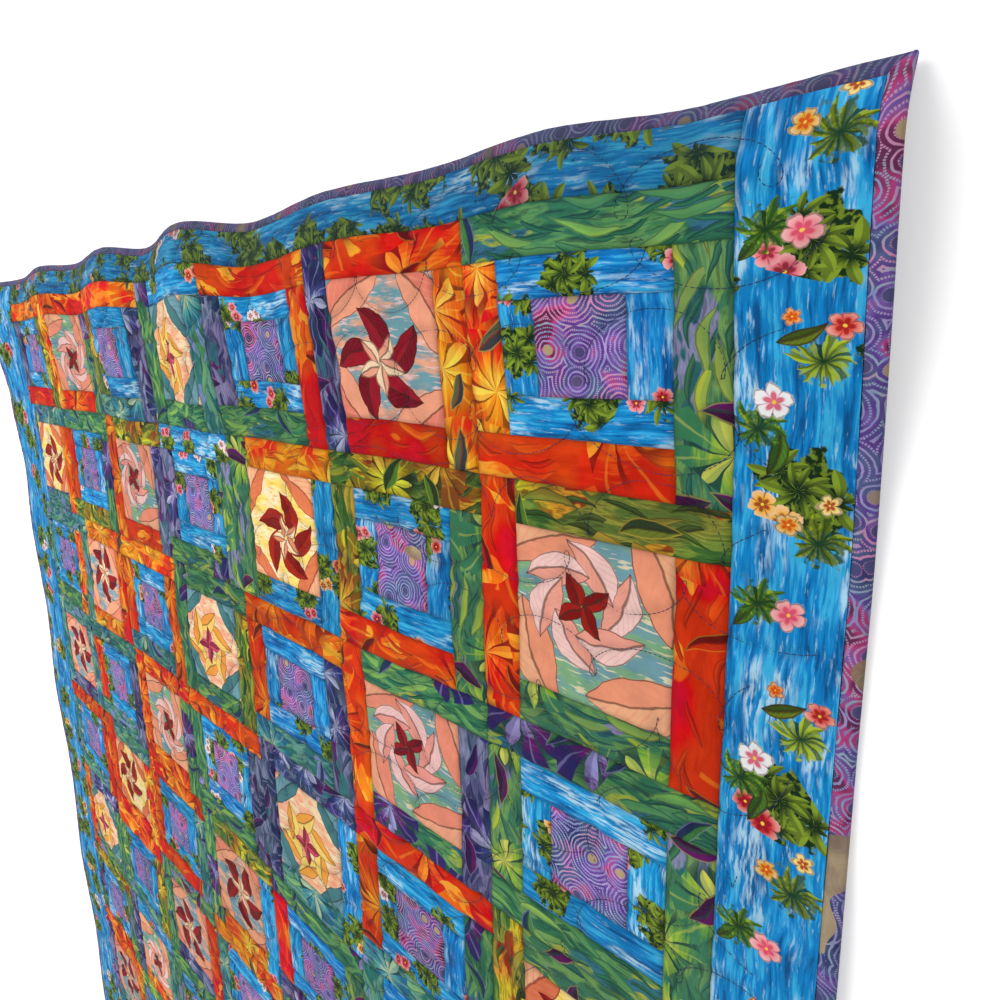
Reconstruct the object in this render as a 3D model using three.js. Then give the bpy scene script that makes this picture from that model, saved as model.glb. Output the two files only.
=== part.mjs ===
// A patchwork quilt laid out flat: a pieced and quilted centre, four border strips and a folded binding.
// Millimetres, +Z up. The quilt lies on Z = 0, +X runs across it and +Y runs towards its head.
import * as THREE from "three";

// Driving sizes
const BLOCK_WIDTH = 209; // one framed block of the patchwork, across the quilt
const BLOCK_LENGTH = 212.5; // and along it
const COLUMNS = 7;
const ROWS = 9;
const LEFT_BORDER = 107.5; // blue strip that shows down the left side
const RIGHT_BORDER = 66; // and the narrower one down the right side
const END_BORDER = 38; // blue strip that shows across the head and the foot
const BINDING = 11.25; // folded binding that shows beyond the border
const THICKNESS = 4.5; // top, wadding and backing quilted together
const BINDING_THICKNESS = 5.5; // the same edge with the binding folded round it
const SEAM_GAP = 0.3; // between two pieces that are sewn together

const FIELD_WIDTH = COLUMNS * BLOCK_WIDTH;
const FIELD_LENGTH = ROWS * BLOCK_LENGTH;
const WIDTH = FIELD_WIDTH + LEFT_BORDER + RIGHT_BORDER + 2 * BINDING;
const LENGTH = FIELD_LENGTH + 2 * (END_BORDER + BINDING);

// The head edge ripples, as a border does that was sewn on a little too long.
// crest: height of the swell behind the edge; edge: height of the edge itself;
// fall: how far the edge draws back from the quilt's full length.
const HEAD = [
  { x: -830, crest: 12, edge: 6, fall: 6 },
  { x: -640, crest: 8, edge: 0, fall: 9 },
  { x: -480, crest: 22, edge: 12, fall: 1 },
  { x: -335, crest: 10, edge: 0, fall: 9 },
  { x: -180, crest: 28, edge: 14, fall: 2 },
  { x: -55, crest: 10, edge: 0, fall: 14 },
  { x: 75, crest: 30, edge: 15, fall: 0 },
  { x: 225, crest: 12, edge: 0, fall: 17 },
  { x: 370, crest: 20, edge: 7, fall: 9 },
  { x: 500, crest: 15, edge: 1, fall: 12 },
  { x: 610, crest: 24, edge: 8, fall: 10 },
  { x: 730, crest: 24, edge: 2, fall: 20 },
  { x: 830, crest: 20, edge: 0, fall: 20 },
];
const CREST_IN = 46; // the swell's top lies this far in from the head edge
const RUN_BASE = 110; // a swell runs this far into the patchwork,
const RUN_PER_RISE = 8; // and this much further for each millimetre of its height

// The foot edge lies almost flat.
const FOOT = [
  { x: -830, lift: 0, fall: 3 },
  { x: -560, lift: 5, fall: 0 },
  { x: -280, lift: 0, fall: 4 },
  { x: 0, lift: 4, fall: 1 },
  { x: 270, lift: 0, fall: 5 },
  { x: 560, lift: 6, fall: 0 },
  { x: 830, lift: 0, fall: 3 },
];

// The long edges: how far each is drawn in, and how far it lifts off the surface.
const SIDES = [
  { y: -1010, leftIn: 10, leftLift: 0, rightIn: 2, rightLift: 0 },
  { y: -850, leftIn: 7, leftLift: 3, rightIn: 1, rightLift: 4 },
  { y: -650, leftIn: 10, leftLift: 0, rightIn: 4, rightLift: 0 },
  { y: -420, leftIn: 6, leftLift: 5, rightIn: 1, rightLift: 6 },
  { y: -180, leftIn: 11, leftLift: 0, rightIn: 4, rightLift: 0 },
  { y: 50, leftIn: 7, leftLift: 5, rightIn: 0, rightLift: 5 },
  { y: 250, leftIn: 12, leftLift: 0, rightIn: 4, rightLift: 0 },
  { y: 450, leftIn: 9, leftLift: 4, rightIn: 1, rightLift: 6 },
  { y: 590, leftIn: 12, leftLift: 0, rightIn: 2, rightLift: 0 },
  { y: 745, leftIn: 6, leftLift: 6, rightIn: 1, rightLift: 2 },
  { y: 870, leftIn: 0, leftLift: 12, rightIn: 0, rightLift: 7 },
  { y: 1010, leftIn: 4, leftLift: 8, rightIn: 1, rightLift: 4 },
];
const EDGE_RUN = 120; // an edge's lift dies out this far in
const DRAW_RUN = 200; // and its draw this far in

// Low swells left in the patchwork where it doesn't quite settle.
// along and across are half sizes, turn is in degrees from +X.
const SWELLS = [
  { x: 430, y: 560, along: 260, across: 90, turn: 35, rise: 5 },
  { x: -60, y: 430, along: 240, across: 80, turn: -30, rise: 4 },
  { x: -470, y: 330, along: 280, across: 95, turn: 20, rise: 5 },
  { x: 330, y: 60, along: 300, across: 90, turn: -25, rise: 5 },
  { x: -380, y: -240, along: 260, across: 85, turn: -40, rise: 4 },
  { x: 240, y: -480, along: 280, across: 95, turn: 28, rise: 5 },
  { x: -300, y: -730, along: 260, across: 90, turn: 12, rise: 4 },
];

const clamp01 = (t) => Math.min(1, Math.max(0, t));
const ease = (t) => clamp01(t) ** 2 * (3 - 2 * clamp01(t));
const fade = (t) => 1 - ease(t);
const dome = (t) => 0.5 + 0.5 * Math.cos(Math.PI * clamp01(Math.abs(t)));

// A column of a table at place p, eased from row to row.
function read(table, key, column, p) {
  let i = 0;
  while (i < table.length - 2 && p > table[i + 1][key]) i++;
  const a = table[i];
  const b = table[i + 1];
  const t = ease((p - a[key]) / (b[key] - a[key]));
  return a[column] + (b[column] - a[column]) * t;
}

// Height of the cloth's underside at the flat cloth's point (u, v).
function height(u, v) {
  const fromHead = LENGTH / 2 - v;
  const crest = read(HEAD, "x", "crest", u);
  const edge = read(HEAD, "x", "edge", u);
  const climb = Math.sin((Math.PI / 2) * clamp01(fromHead / CREST_IN));
  const run = RUN_BASE + RUN_PER_RISE * crest;
  const head = fromHead < CREST_IN
    ? edge + (crest - edge) * climb
    : crest * fade((fromHead - CREST_IN) / run);
  const foot = read(FOOT, "x", "lift", u) * fade((v + LENGTH / 2) / EDGE_RUN);
  const left = read(SIDES, "y", "leftLift", v) * fade((u + WIDTH / 2) / EDGE_RUN);
  const right = read(SIDES, "y", "rightLift", v) * fade((WIDTH / 2 - u) / EDGE_RUN);
  let swell = 0;
  for (const s of SWELLS) {
    const turn = THREE.MathUtils.degToRad(s.turn);
    const along = (u - s.x) * Math.cos(turn) + (v - s.y) * Math.sin(turn);
    const across = (v - s.y) * Math.cos(turn) - (u - s.x) * Math.sin(turn);
    swell += s.rise * dome(Math.hypot(along / s.along, across / s.across));
  }
  return head + foot + left + right + swell;
}

// Where the flat cloth's point (u, v) lies, on its underside.
function laid(u, v) {
  const leftIn = read(SIDES, "y", "leftIn", v) * fade((u + WIDTH / 2) / DRAW_RUN);
  const rightIn = read(SIDES, "y", "rightIn", v) * fade((WIDTH / 2 - u) / DRAW_RUN);
  const headIn = read(HEAD, "x", "fall", u) * fade((LENGTH / 2 - v) / DRAW_RUN);
  const footIn = read(FOOT, "x", "fall", u) * fade((v + LENGTH / 2) / DRAW_RUN);
  return new THREE.Vector3(u + leftIn - rightIn, v - headIn + footIn, height(u, v));
}

// The same point raised by c along the cloth's normal.
function point(u, v, c) {
  const step = 1;
  const du = laid(u + step, v).sub(laid(u - step, v));
  const dv = laid(u, v + step).sub(laid(u, v - step));
  const normal = du.cross(dv).normalize();
  return laid(u, v).addScaledVector(normal, c);
}

// A closed solid from rings of points: each ring is one closed section, with its ends filled.
function loft(rings) {
  const n = rings[0].length;
  const positions = [];
  const index = [];
  rings.forEach((ring) => ring.forEach((p) => positions.push(p.x, p.y, p.z)));
  for (let i = 0; i + 1 < rings.length; i++) {
    for (let j = 0; j < n; j++) {
      const a = i * n + j;
      const b = i * n + ((j + 1) % n);
      index.push(a, b, b + n, a, b + n, a + n);
    }
  }
  return { positions, index, n, count: rings.length };
}

function toGeometry(positions, index) {
  const geometry = new THREE.BufferGeometry();
  geometry.setAttribute("position", new THREE.Float32BufferAttribute(positions, 3));
  geometry.setIndex(index);
  geometry.computeVertexNormals();
  return geometry;
}

// A piece of the quilted cloth over the flat rectangle of these u and v lines.
function clothPiece(us, vs) {
  // One section for each u line: along the top in v, then back along the underside.
  const rings = us.map((u) => [
    ...vs.map((v) => point(u, v, 0)),
    ...[...vs].reverse().map((v) => point(u, v, THICKNESS)),
  ]);
  const { positions, index, n, count } = loft(rings);
  const m = vs.length;
  const last = (count - 1) * n;
  for (let j = 0; j + 1 < m; j++) {
    // The two end sections are strips between the underside and the top.
    const low = j;
    const next = j + 1;
    const high = n - 1 - j;
    const nextHigh = n - 2 - j;
    index.push(low, high, nextHigh, low, nextHigh, next);
    index.push(last + low, last + nextHigh, last + high, last + low, last + next, last + nextHigh);
  }
  return toGeometry(positions, index);
}

// The binding's section: how far in from the outer edge, and how high above the underside.
function bindingSection() {
  const r = BINDING_THICKNESS / 2;
  const inner = BINDING - SEAM_GAP / 2;
  const section = [[inner, 0]];
  for (const degrees of [0, 45, 90, 135, 180]) {
    const a = THREE.MathUtils.degToRad(degrees);
    section.push([r - r * Math.sin(a), r - r * Math.cos(a)]);
  }
  section.push([inner, BINDING_THICKNESS]);
  return section;
}

// One side of the binding. lines are the places along it at its inner seam; half is half its outer
// length; at turns a place along it and a distance in from its edge into the flat cloth's (u, v).
function bindingPiece(lines, half, at) {
  const section = bindingSection();
  const innerHalf = half - BINDING;
  const rings = lines.map((line) =>
    section.map(([fromEdge, c]) => {
      const stretch = (half - fromEdge - SEAM_GAP / 2) / innerHalf;
      const [u, v] = at(line * stretch, fromEdge);
      return point(u, v, c);
    }),
  );
  const { positions, index, n, count } = loft(rings);
  const last = (count - 1) * n;
  for (let j = 1; j + 1 < n; j++) {
    index.push(0, j + 1, j);
    index.push(last, last + j, last + j + 1);
  }
  return toGeometry(positions, index);
}

// The flat cloth's grid lines, shared by neighbours so that their seams run together.
function lineUp(low, high, count) {
  return Array.from({ length: count + 1 }, (_, i) => low + ((high - low) * i) / count);
}
const shrink = (lines) => {
  const cut = [...lines];
  cut[0] += SEAM_GAP / 2;
  cut[cut.length - 1] -= SEAM_GAP / 2;
  return cut;
};
const Y_SEAM = FIELD_LENGTH / 2;
const X_BOUND = WIDTH / 2 - BINDING;
const LEFT_SEAM = LEFT_BORDER - X_BOUND;
const RIGHT_SEAM = X_BOUND - RIGHT_BORDER;
const Y_BOUND = LENGTH / 2 - BINDING;
const NEAR_HEAD = [350, 285, 225, 170, 125, 88, 56, 28, 0]; // below the head seam, where it ripples
const fieldU = lineUp(LEFT_SEAM, RIGHT_SEAM, 38);
const fieldV = [
  ...lineUp(-Y_SEAM, Y_SEAM - NEAR_HEAD[0], 20).slice(0, -1),
  ...NEAR_HEAD.map((d) => Y_SEAM - d),
];
const leftU = lineUp(-X_BOUND, LEFT_SEAM, 4);
const rightU = lineUp(RIGHT_SEAM, X_BOUND, 2);
const headV = lineUp(Y_SEAM, Y_BOUND, 3);
const footV = lineUp(-Y_BOUND, -Y_SEAM, 2);
const wholeU = [...leftU.slice(0, -1), ...fieldU, ...rightU.slice(1)];
const wholeV = [...footV.slice(0, -1), ...fieldV, ...headV.slice(1)];

// Materials
const cloth = (color) => new THREE.MeshStandardMaterial({ color, roughness: 0.9, metalness: 0 });
const PATCHWORK = cloth(0xb9683c);
const BLUE_CLOTH = cloth(0x1f7fc4);
const PURPLE_CLOTH = cloth(0x6b3f86);

const quilt = new THREE.Group();
function add(name, geometry, material) {
  const mesh = new THREE.Mesh(geometry, material);
  mesh.name = name;
  quilt.add(mesh);
}

// The pieced centre and its four borders: the side borders run the whole length
add("pieced_centre", clothPiece(shrink(fieldU), shrink(fieldV)), PATCHWORK);
add("border_head", clothPiece(shrink(fieldU), shrink(headV)), BLUE_CLOTH);
add("border_foot", clothPiece(shrink(fieldU), shrink(footV)), BLUE_CLOTH);
add("border_left", clothPiece(shrink(leftU), shrink(wholeV)), BLUE_CLOTH);
add("border_right", clothPiece(shrink(rightU), shrink(wholeV)), BLUE_CLOTH);

// The binding, each side's lines given so that the section turns the same way round
const backwards = (lines) => [...lines].reverse();
const BINDINGS = [
  { name: "binding_head", lines: wholeU, half: WIDTH / 2, at: (p, d) => [p, LENGTH / 2 - d] },
  { name: "binding_foot", lines: backwards(wholeU), half: WIDTH / 2, at: (p, d) => [p, d - LENGTH / 2] },
  { name: "binding_left", lines: wholeV, half: LENGTH / 2, at: (p, d) => [d - WIDTH / 2, p] },
  { name: "binding_right", lines: backwards(wholeV), half: LENGTH / 2, at: (p, d) => [WIDTH / 2 - d, p] },
];
for (const side of BINDINGS) add(side.name, bindingPiece(side.lines, side.half, side.at), PURPLE_CLOTH);

export default quilt;
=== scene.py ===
"""A patchwork quilt laid out flat: seven by nine framed blocks, four blue borders, a folded binding,
a plain backing and dark looping quilting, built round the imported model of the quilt."""

import math
from functools import partialmethod

import bpy
import numpy as np
from bpy.props import FloatProperty, FloatVectorProperty, IntProperty, PointerProperty
from bpy.types import Operator, Panel, PropertyGroup
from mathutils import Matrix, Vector


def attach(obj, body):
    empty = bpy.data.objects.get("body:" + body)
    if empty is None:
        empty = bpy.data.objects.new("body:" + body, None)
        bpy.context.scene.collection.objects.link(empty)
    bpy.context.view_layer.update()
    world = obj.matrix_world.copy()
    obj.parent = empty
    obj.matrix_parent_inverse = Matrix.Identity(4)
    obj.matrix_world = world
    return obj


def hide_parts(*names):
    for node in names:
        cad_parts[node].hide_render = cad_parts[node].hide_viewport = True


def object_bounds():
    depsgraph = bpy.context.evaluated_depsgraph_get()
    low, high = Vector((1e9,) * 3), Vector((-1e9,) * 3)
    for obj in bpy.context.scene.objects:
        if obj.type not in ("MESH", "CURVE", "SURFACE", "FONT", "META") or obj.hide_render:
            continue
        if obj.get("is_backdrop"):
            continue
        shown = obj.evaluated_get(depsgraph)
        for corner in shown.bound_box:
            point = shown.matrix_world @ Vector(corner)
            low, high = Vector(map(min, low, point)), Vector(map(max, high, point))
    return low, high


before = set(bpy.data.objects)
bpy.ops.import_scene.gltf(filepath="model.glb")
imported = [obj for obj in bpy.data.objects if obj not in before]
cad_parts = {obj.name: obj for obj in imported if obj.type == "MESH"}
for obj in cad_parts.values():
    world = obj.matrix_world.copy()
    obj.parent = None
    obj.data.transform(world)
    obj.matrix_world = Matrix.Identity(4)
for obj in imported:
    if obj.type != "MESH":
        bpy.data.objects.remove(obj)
CAD_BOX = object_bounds()

bl_info = {
    "name": "Patchwork quilt",
    "version": (1, 0, 0),
    "blender": (4, 5, 0),
    "location": "View3D > Sidebar > Quilt",
    "description": "Pieces, quilts and binds a patchwork quilt that lies flat",
    "category": "Object",
}

# ---------------------------------------------------------------------------
# The quilt's plan and the way it lies, in millimetres. Meshes are made in metres.
# ---------------------------------------------------------------------------

MM = 0.001
BLOCK_WIDTH = 209.0  # one framed block of the patchwork
BLOCK_LENGTH = 212.5
COLUMNS = 7
ROWS = 9
LEFT_BORDER = 107.5
RIGHT_BORDER = 66.0
END_BORDER = 38.0
BINDING = 11.25  # folded binding that shows beyond the border
STRIP = 37.0  # outer strips of a block
INNER = 31.5  # inner strips of a framed square
FIELD_WIDTH = COLUMNS * BLOCK_WIDTH
FIELD_LENGTH = ROWS * BLOCK_LENGTH
X_BOUND = (FIELD_WIDTH + LEFT_BORDER + RIGHT_BORDER) / 2
Y_BOUND = FIELD_LENGTH / 2 + END_BORDER
HALF_WIDTH = X_BOUND + BINDING
HALF_LENGTH = Y_BOUND + BINDING
LEFT_SEAM = LEFT_BORDER - X_BOUND
RIGHT_SEAM = X_BOUND - RIGHT_BORDER
Y_SEAM = FIELD_LENGTH / 2
TOP = 4.4  # the quilted face over the underside
BINDING_THICKNESS = 5.5


def table(columns, *rows):
    """A table's columns by name."""
    return dict(zip(columns.split(), np.array(rows, float).T))


# The head edge ripples. crest: height of the swell behind the edge; edge: height of the edge
# itself; fall: how far the edge draws back.
HEAD = table(
    "x crest edge fall",
    (-830, 12, 6, 6),
    (-640, 8, 0, 9),
    (-480, 22, 12, 1),
    (-335, 10, 0, 9),
    (-180, 28, 14, 2),
    (-55, 10, 0, 14),
    (75, 30, 15, 0),
    (225, 12, 0, 17),
    (370, 20, 7, 9),
    (500, 15, 1, 12),
    (610, 24, 8, 10),
    (730, 24, 2, 20),
    (830, 20, 0, 20),
)
CREST_IN = 46.0  # the swell's top lies this far in from the head edge
RUN_BASE = 110.0  # a swell runs this far into the patchwork,
RUN_PER_RISE = 8.0  # and this much further for each millimetre of its height

# The foot edge lies almost flat.
FOOT = table(
    "x lift fall",
    (-830, 0, 3),
    (-560, 5, 0),
    (-280, 0, 4),
    (0, 4, 1),
    (270, 0, 5),
    (560, 6, 0),
    (830, 0, 3),
)

# The long edges: how far each is drawn in, and how far it lifts.
SIDES = table(
    "y left_in left_lift right_in right_lift",
    (-1010, 10, 0, 2, 0),
    (-850, 7, 3, 1, 4),
    (-650, 10, 0, 4, 0),
    (-420, 6, 5, 1, 6),
    (-180, 11, 0, 4, 0),
    (50, 7, 5, 0, 5),
    (250, 12, 0, 4, 0),
    (450, 9, 4, 1, 6),
    (590, 12, 0, 2, 0),
    (745, 6, 6, 1, 2),
    (870, 0, 12, 0, 7),
    (1010, 4, 8, 1, 4),
)
EDGE_RUN = 120.0  # an edge's lift dies out this far in
DRAW_RUN = 200.0  # and its draw this far in

# Low swells left in the patchwork: middle, half length and half width, turn in degrees, height.
SWELLS = (
    (430, 560, 260, 90, 35, 5),
    (-60, 430, 240, 80, -30, 4),
    (-470, 330, 280, 95, 20, 5),
    (330, 60, 300, 90, -25, 5),
    (-380, -240, 260, 85, -40, 4),
    (240, -480, 280, 95, 28, 5),
    (-300, -730, 260, 90, 12, 4),
)


def clamp01(t):
    return np.clip(t, 0.0, 1.0)


def ease(t):
    t = clamp01(t)
    return t * t * (3 - 2 * t)


def fade(t):
    return 1 - ease(t)


def read(rows, key, column, place):
    """A column of a table at each place, eased from row to row."""
    at = rows[key]
    values = rows[column]
    i = np.clip(np.searchsorted(at, place) - 1, 0, len(at) - 2)
    t = ease((place - at[i]) / (at[i + 1] - at[i]))
    return values[i] * (1 - t) + values[i + 1] * t


def height(u, v):
    """Height of the cloth's underside at the flat cloth's points (u, v)."""
    from_head = HALF_LENGTH - v
    crest = read(HEAD, "x", "crest", u)
    edge = read(HEAD, "x", "edge", u)
    climb = np.sin(math.pi / 2 * clamp01(from_head / CREST_IN))
    outer = edge + (crest - edge) * climb
    inner = crest * fade((from_head - CREST_IN) / (RUN_BASE + RUN_PER_RISE * crest))
    total = np.where(from_head < CREST_IN, outer, inner)
    total = total + read(FOOT, "x", "lift", u) * fade((v + HALF_LENGTH) / EDGE_RUN)
    total = total + read(SIDES, "y", "left_lift", v) * fade((u + HALF_WIDTH) / EDGE_RUN)
    total = total + read(SIDES, "y", "right_lift", v) * fade((HALF_WIDTH - u) / EDGE_RUN)
    for x, y, half_length, half_width, turn, rise in SWELLS:
        du = u - x
        dv = v - y
        cosine = math.cos(math.radians(turn))
        sine = math.sin(math.radians(turn))
        along = (du * cosine + dv * sine) / half_length
        across = (dv * cosine - du * sine) / half_width
        total = total + rise * (0.5 + 0.5 * np.cos(math.pi * clamp01(np.hypot(along, across))))
    return total


def laid(u, v):
    """Where the flat cloth's points (u, v) lie, on its underside."""
    left = read(SIDES, "y", "left_in", v) * fade((u + HALF_WIDTH) / DRAW_RUN)
    right = read(SIDES, "y", "right_in", v) * fade((HALF_WIDTH - u) / DRAW_RUN)
    head = read(HEAD, "x", "fall", u) * fade((HALF_LENGTH - v) / DRAW_RUN)
    foot = read(FOOT, "x", "fall", u) * fade((v + HALF_LENGTH) / DRAW_RUN)
    return np.stack([u + left - right, v - head + foot, height(u, v)], axis=-1)


def raised(u, v, c):
    """The same points raised by c along the cloth's normal, in metres."""
    step = 1.0
    across = laid(u + step, v) - laid(u - step, v)
    along = laid(u, v + step) - laid(u, v - step)
    normal = np.cross(across, along)
    normal /= np.linalg.norm(normal, axis=-1, keepdims=True)
    return (laid(u, v) + normal * np.asarray(c, float)[..., None]) * MM


LUMP_GRID = (89, 97)  # lumps before they repeat
LUMP_START = 3000.0  # keeps every point on the positive side of that grid


def lumps(u, v, size, seed):
    """Smooth unevenness from -1 to 1, in lumps of about this size."""
    values = np.random.default_rng(seed).uniform(-1, 1, LUMP_GRID)
    p = (u + LUMP_START) / size
    q = (v + LUMP_START) / size
    i = np.floor(p).astype(int)
    j = np.floor(q).astype(int)
    s = ease(p - i)
    t = ease(q - j)
    a, b, c, d = [values[(i + k) % LUMP_GRID[0], (j + m) % LUMP_GRID[1]] for k in (0, 1) for m in (0, 1)]
    return (a * (1 - s) + c * s) * (1 - t) + (b * (1 - s) + d * s) * t


# ---------------------------------------------------------------------------
# The patchwork's plan
# ---------------------------------------------------------------------------

# The blocks from the head row down, each row from left to right. A block names the prints of its
# top, right, bottom and left strips and then its middle: S is a framed square, 1 to 4 a panel.
PLAN = [
    "OBRN-S RGRO-1 ONTB-S WTGG-3 RRGN-S RORN-4 GLRO-S",
    "TRTW-2 GGBR-S BNRR-1 WLGN-S OWWL-2 BLRB-S BRLR-1",
    "TOGT-S OROT-4 ORTR-S GBGG-3 RNTR-S GNGR-1 GLGL-S",
    "TTNT-4 TNTR-S RGRR-1 RNGG-S NWTN-3 RGTR-S LRGB-2",
    "RRTT-S TORR-2 RTRR-S BWOG-4 GLNR-S WRLT-1 RGBN-S",
    "NGLO-3 RBTL-S LRNG-4 ORWT-S TBRG-1 LNRW-S GROT-4",
    "BLRG-S WTON-1 GNRL-S RGLB-2 NTRO-S RLGT-3 TRNL-S",
    "ROTN-4 LGRT-S TRBW-3 GLON-S RNTG-1 BTRL-S OGNR-2",
    "TNGR-S RLTO-2 NRGL-S LTRB-1 GORN-S TGLR-4 LRTG-S",
]
INNER_PRINTS = "WWWW"  # the prints of a framed square's inner strips


def seam_lines(block):
    """A block's seam lines along a side of this length."""
    return [0.0, STRIP, STRIP + INNER, block - STRIP - INNER, block - STRIP, block]


# Which patch covers each cell between a block's seam lines, from its top row down. Small letters
# are the outer strips, capitals the inner ones of a framed square, and m is the middle.
ACROSS_LINES = seam_lines(BLOCK_WIDTH)
DOWN_LINES = seam_lines(BLOCK_LENGTH)
CELLS = len(ACROSS_LINES) - 1
PANEL_BLOCK = ["ltttt", "lmmmr", "lmmmr", "lmmmr", "lbbbr"]
SQUARE_BLOCK = ["ttttt", "lTTTr", "lLmRr", "lBBBr", "bbbbr"]
PATCHES = "trblmTRBL"
ACROSS = "tbTB"  # patches whose length runs across the block


def patch_box(block, letter):
    """A patch's left, right, top and bottom in its block, from the block's top left corner."""
    cells = [(i, j) for j in range(CELLS) for i in range(CELLS) if block[j][i] == letter]
    if not cells:
        return (0.0, 0.0, 0.0, 0.0)
    columns, rows = zip(*cells)
    across = (ACROSS_LINES[min(columns)], ACROSS_LINES[max(columns) + 1])
    return (*across, DOWN_LINES[min(rows)], DOWN_LINES[max(rows) + 1])


LAYOUTS = [SQUARE_BLOCK, PANEL_BLOCK]
PATCH_AT = np.array([[[PATCHES.index(c) for c in line] for line in block] for block in LAYOUTS])
PATCH_BOX = np.array([[patch_box(block, c) for c in PATCHES] for block in LAYOUTS])


def patch_under(u, v):
    """Column, row and patch number under each point, and the point's place in its block."""
    column = np.clip(np.floor((u - LEFT_SEAM) / BLOCK_WIDTH), 0, COLUMNS - 1).astype(int)
    row = np.clip(np.floor((Y_SEAM - v) / BLOCK_LENGTH), 0, ROWS - 1).astype(int)
    p = u - LEFT_SEAM - column * BLOCK_WIDTH
    q = Y_SEAM - v - row * BLOCK_LENGTH
    i = np.clip(np.searchsorted(ACROSS_LINES, p) - 1, 0, CELLS - 1)
    j = np.clip(np.searchsorted(DOWN_LINES, q) - 1, 0, CELLS - 1)
    return column, row, PATCH_AT[(column + row) % 2, j, i], p, q


def seam_distance(u, v):
    """How far each point lies from the nearest seam."""
    column, row, patch, p, q = patch_under(u, v)
    left, right, top, bottom = np.moveaxis(PATCH_BOX[(column + row) % 2, patch], -1, 0)
    inside = np.minimum(np.minimum(p - left, right - p), np.minimum(q - top, bottom - q))
    side = np.minimum(np.abs(u - LEFT_SEAM), np.abs(u - RIGHT_SEAM))
    between = (u >= LEFT_SEAM) & (u <= RIGHT_SEAM)
    end = np.where(between, np.abs(np.abs(v) - Y_SEAM), side)
    in_field = between & (np.abs(v) <= Y_SEAM)
    return np.where(in_field, np.maximum(inside, 0), np.minimum(side, end))


# ---------------------------------------------------------------------------
# The quilting
# ---------------------------------------------------------------------------

SEED = 41
LINE_START = 0.55  # the first line's middle, in row spacings from the border's outer edge
LINE_INSET = 30.0  # the lines start this far in from the sides,
LINE_MARGIN = 6.0  # and never come nearer to the edge than this
KNOTS = 75.0  # distance between changes in a line's course
KNOTS_PAST = 200.0  # how far the changes go on past the border
SWAY = (-9.0, 9.0)  # how far a line leaves its middle
SWING = (14.0, 27.0)  # half the width and half the height of a loop
SLIP = (-0.8, 0.8)  # how far a loop comes early or late, in radians


def quilting_lines(sizes):
    """Loose loops of quilting that wander from side to side, each an array of (u, v) points."""
    rng = np.random.default_rng(SEED)
    spacing = sizes.row_spacing / MM
    t = np.arange(-X_BOUND + LINE_INSET, X_BOUND - LINE_INSET, 0.5)
    knots = np.arange(-X_BOUND - KNOTS_PAST, X_BOUND + KNOTS_PAST, KNOTS)

    def wander(between):
        return np.interp(t, knots, rng.uniform(*between, len(knots)))

    lines = []
    for k in range(int(2 * Y_BOUND / spacing)):
        middle = Y_BOUND - spacing * (k + LINE_START)
        sway = wander(SWAY)
        swing = wander(SWING)
        rise = wander(SWING)
        slip = wander(SLIP)
        phase = 2 * math.pi * t / (sizes.loop_length / MM) + rng.uniform(0, 2 * math.pi) + slip
        side = 1 if k % 2 else -1
        u = np.clip(t - swing * np.sin(phase), LINE_MARGIN - X_BOUND, X_BOUND - LINE_MARGIN)
        v = middle + side * rise * np.cos(phase) + sway
        lines.append(np.stack([u, np.clip(v, LINE_MARGIN - Y_BOUND, Y_BOUND - LINE_MARGIN)], axis=-1))
    return lines


def evenly(line, pitch):
    """Points along a line at an even pitch."""
    steps = np.linalg.norm(np.diff(line, axis=0), axis=1)
    run = np.concatenate([[0.0], np.cumsum(steps)])
    at = np.arange(0.0, run[-1], pitch)
    return np.stack([np.interp(at, run, line[:, k]) for k in (0, 1)], axis=-1)


class Grooves:
    """How far the quilting draws the face down, on a fine grid over the whole cloth."""

    CELL = 2.5  # distance between the lines of the grid, in millimetres
    PITCH = 1.6  # distance between the points of a line that press on the grid
    REACH = 2.4  # how far a point presses, in groove widths

    def __init__(self, lines, width):
        self.shape = (int(2 * HALF_WIDTH / self.CELL) + 3, int(2 * HALF_LENGTH / self.CELL) + 3)
        self.depth = np.zeros(self.shape)
        points = np.concatenate([evenly(line, self.PITCH) for line in lines])
        p, q = self.place(points[:, 0], points[:, 1])
        reach = int(math.ceil(self.REACH * width / self.CELL))
        for di in range(-reach, reach + 1):
            for dj in range(-reach, reach + 1):
                i = np.clip(np.round(p).astype(int) + di, 0, self.shape[0] - 1)
                j = np.clip(np.round(q).astype(int) + dj, 0, self.shape[1] - 1)
                pull = np.exp(-((np.hypot(p - i, q - j) * self.CELL / width) ** 2))
                np.maximum.at(self.depth, (i, j), pull)

    def place(self, u, v):
        return (u + HALF_WIDTH) / self.CELL, (v + HALF_LENGTH) / self.CELL

    def at(self, u, v):
        p, q = self.place(u, v)
        i = np.clip(p.astype(int), 0, self.shape[0] - 2)
        j = np.clip(q.astype(int), 0, self.shape[1] - 2)
        s = clamp01(p - i)
        t = clamp01(q - j)
        near = self.depth[i, j] * (1 - s) + self.depth[i + 1, j] * s
        far = self.depth[i, j + 1] * (1 - s) + self.depth[i + 1, j + 1] * s
        return near * (1 - t) + far * t


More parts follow.
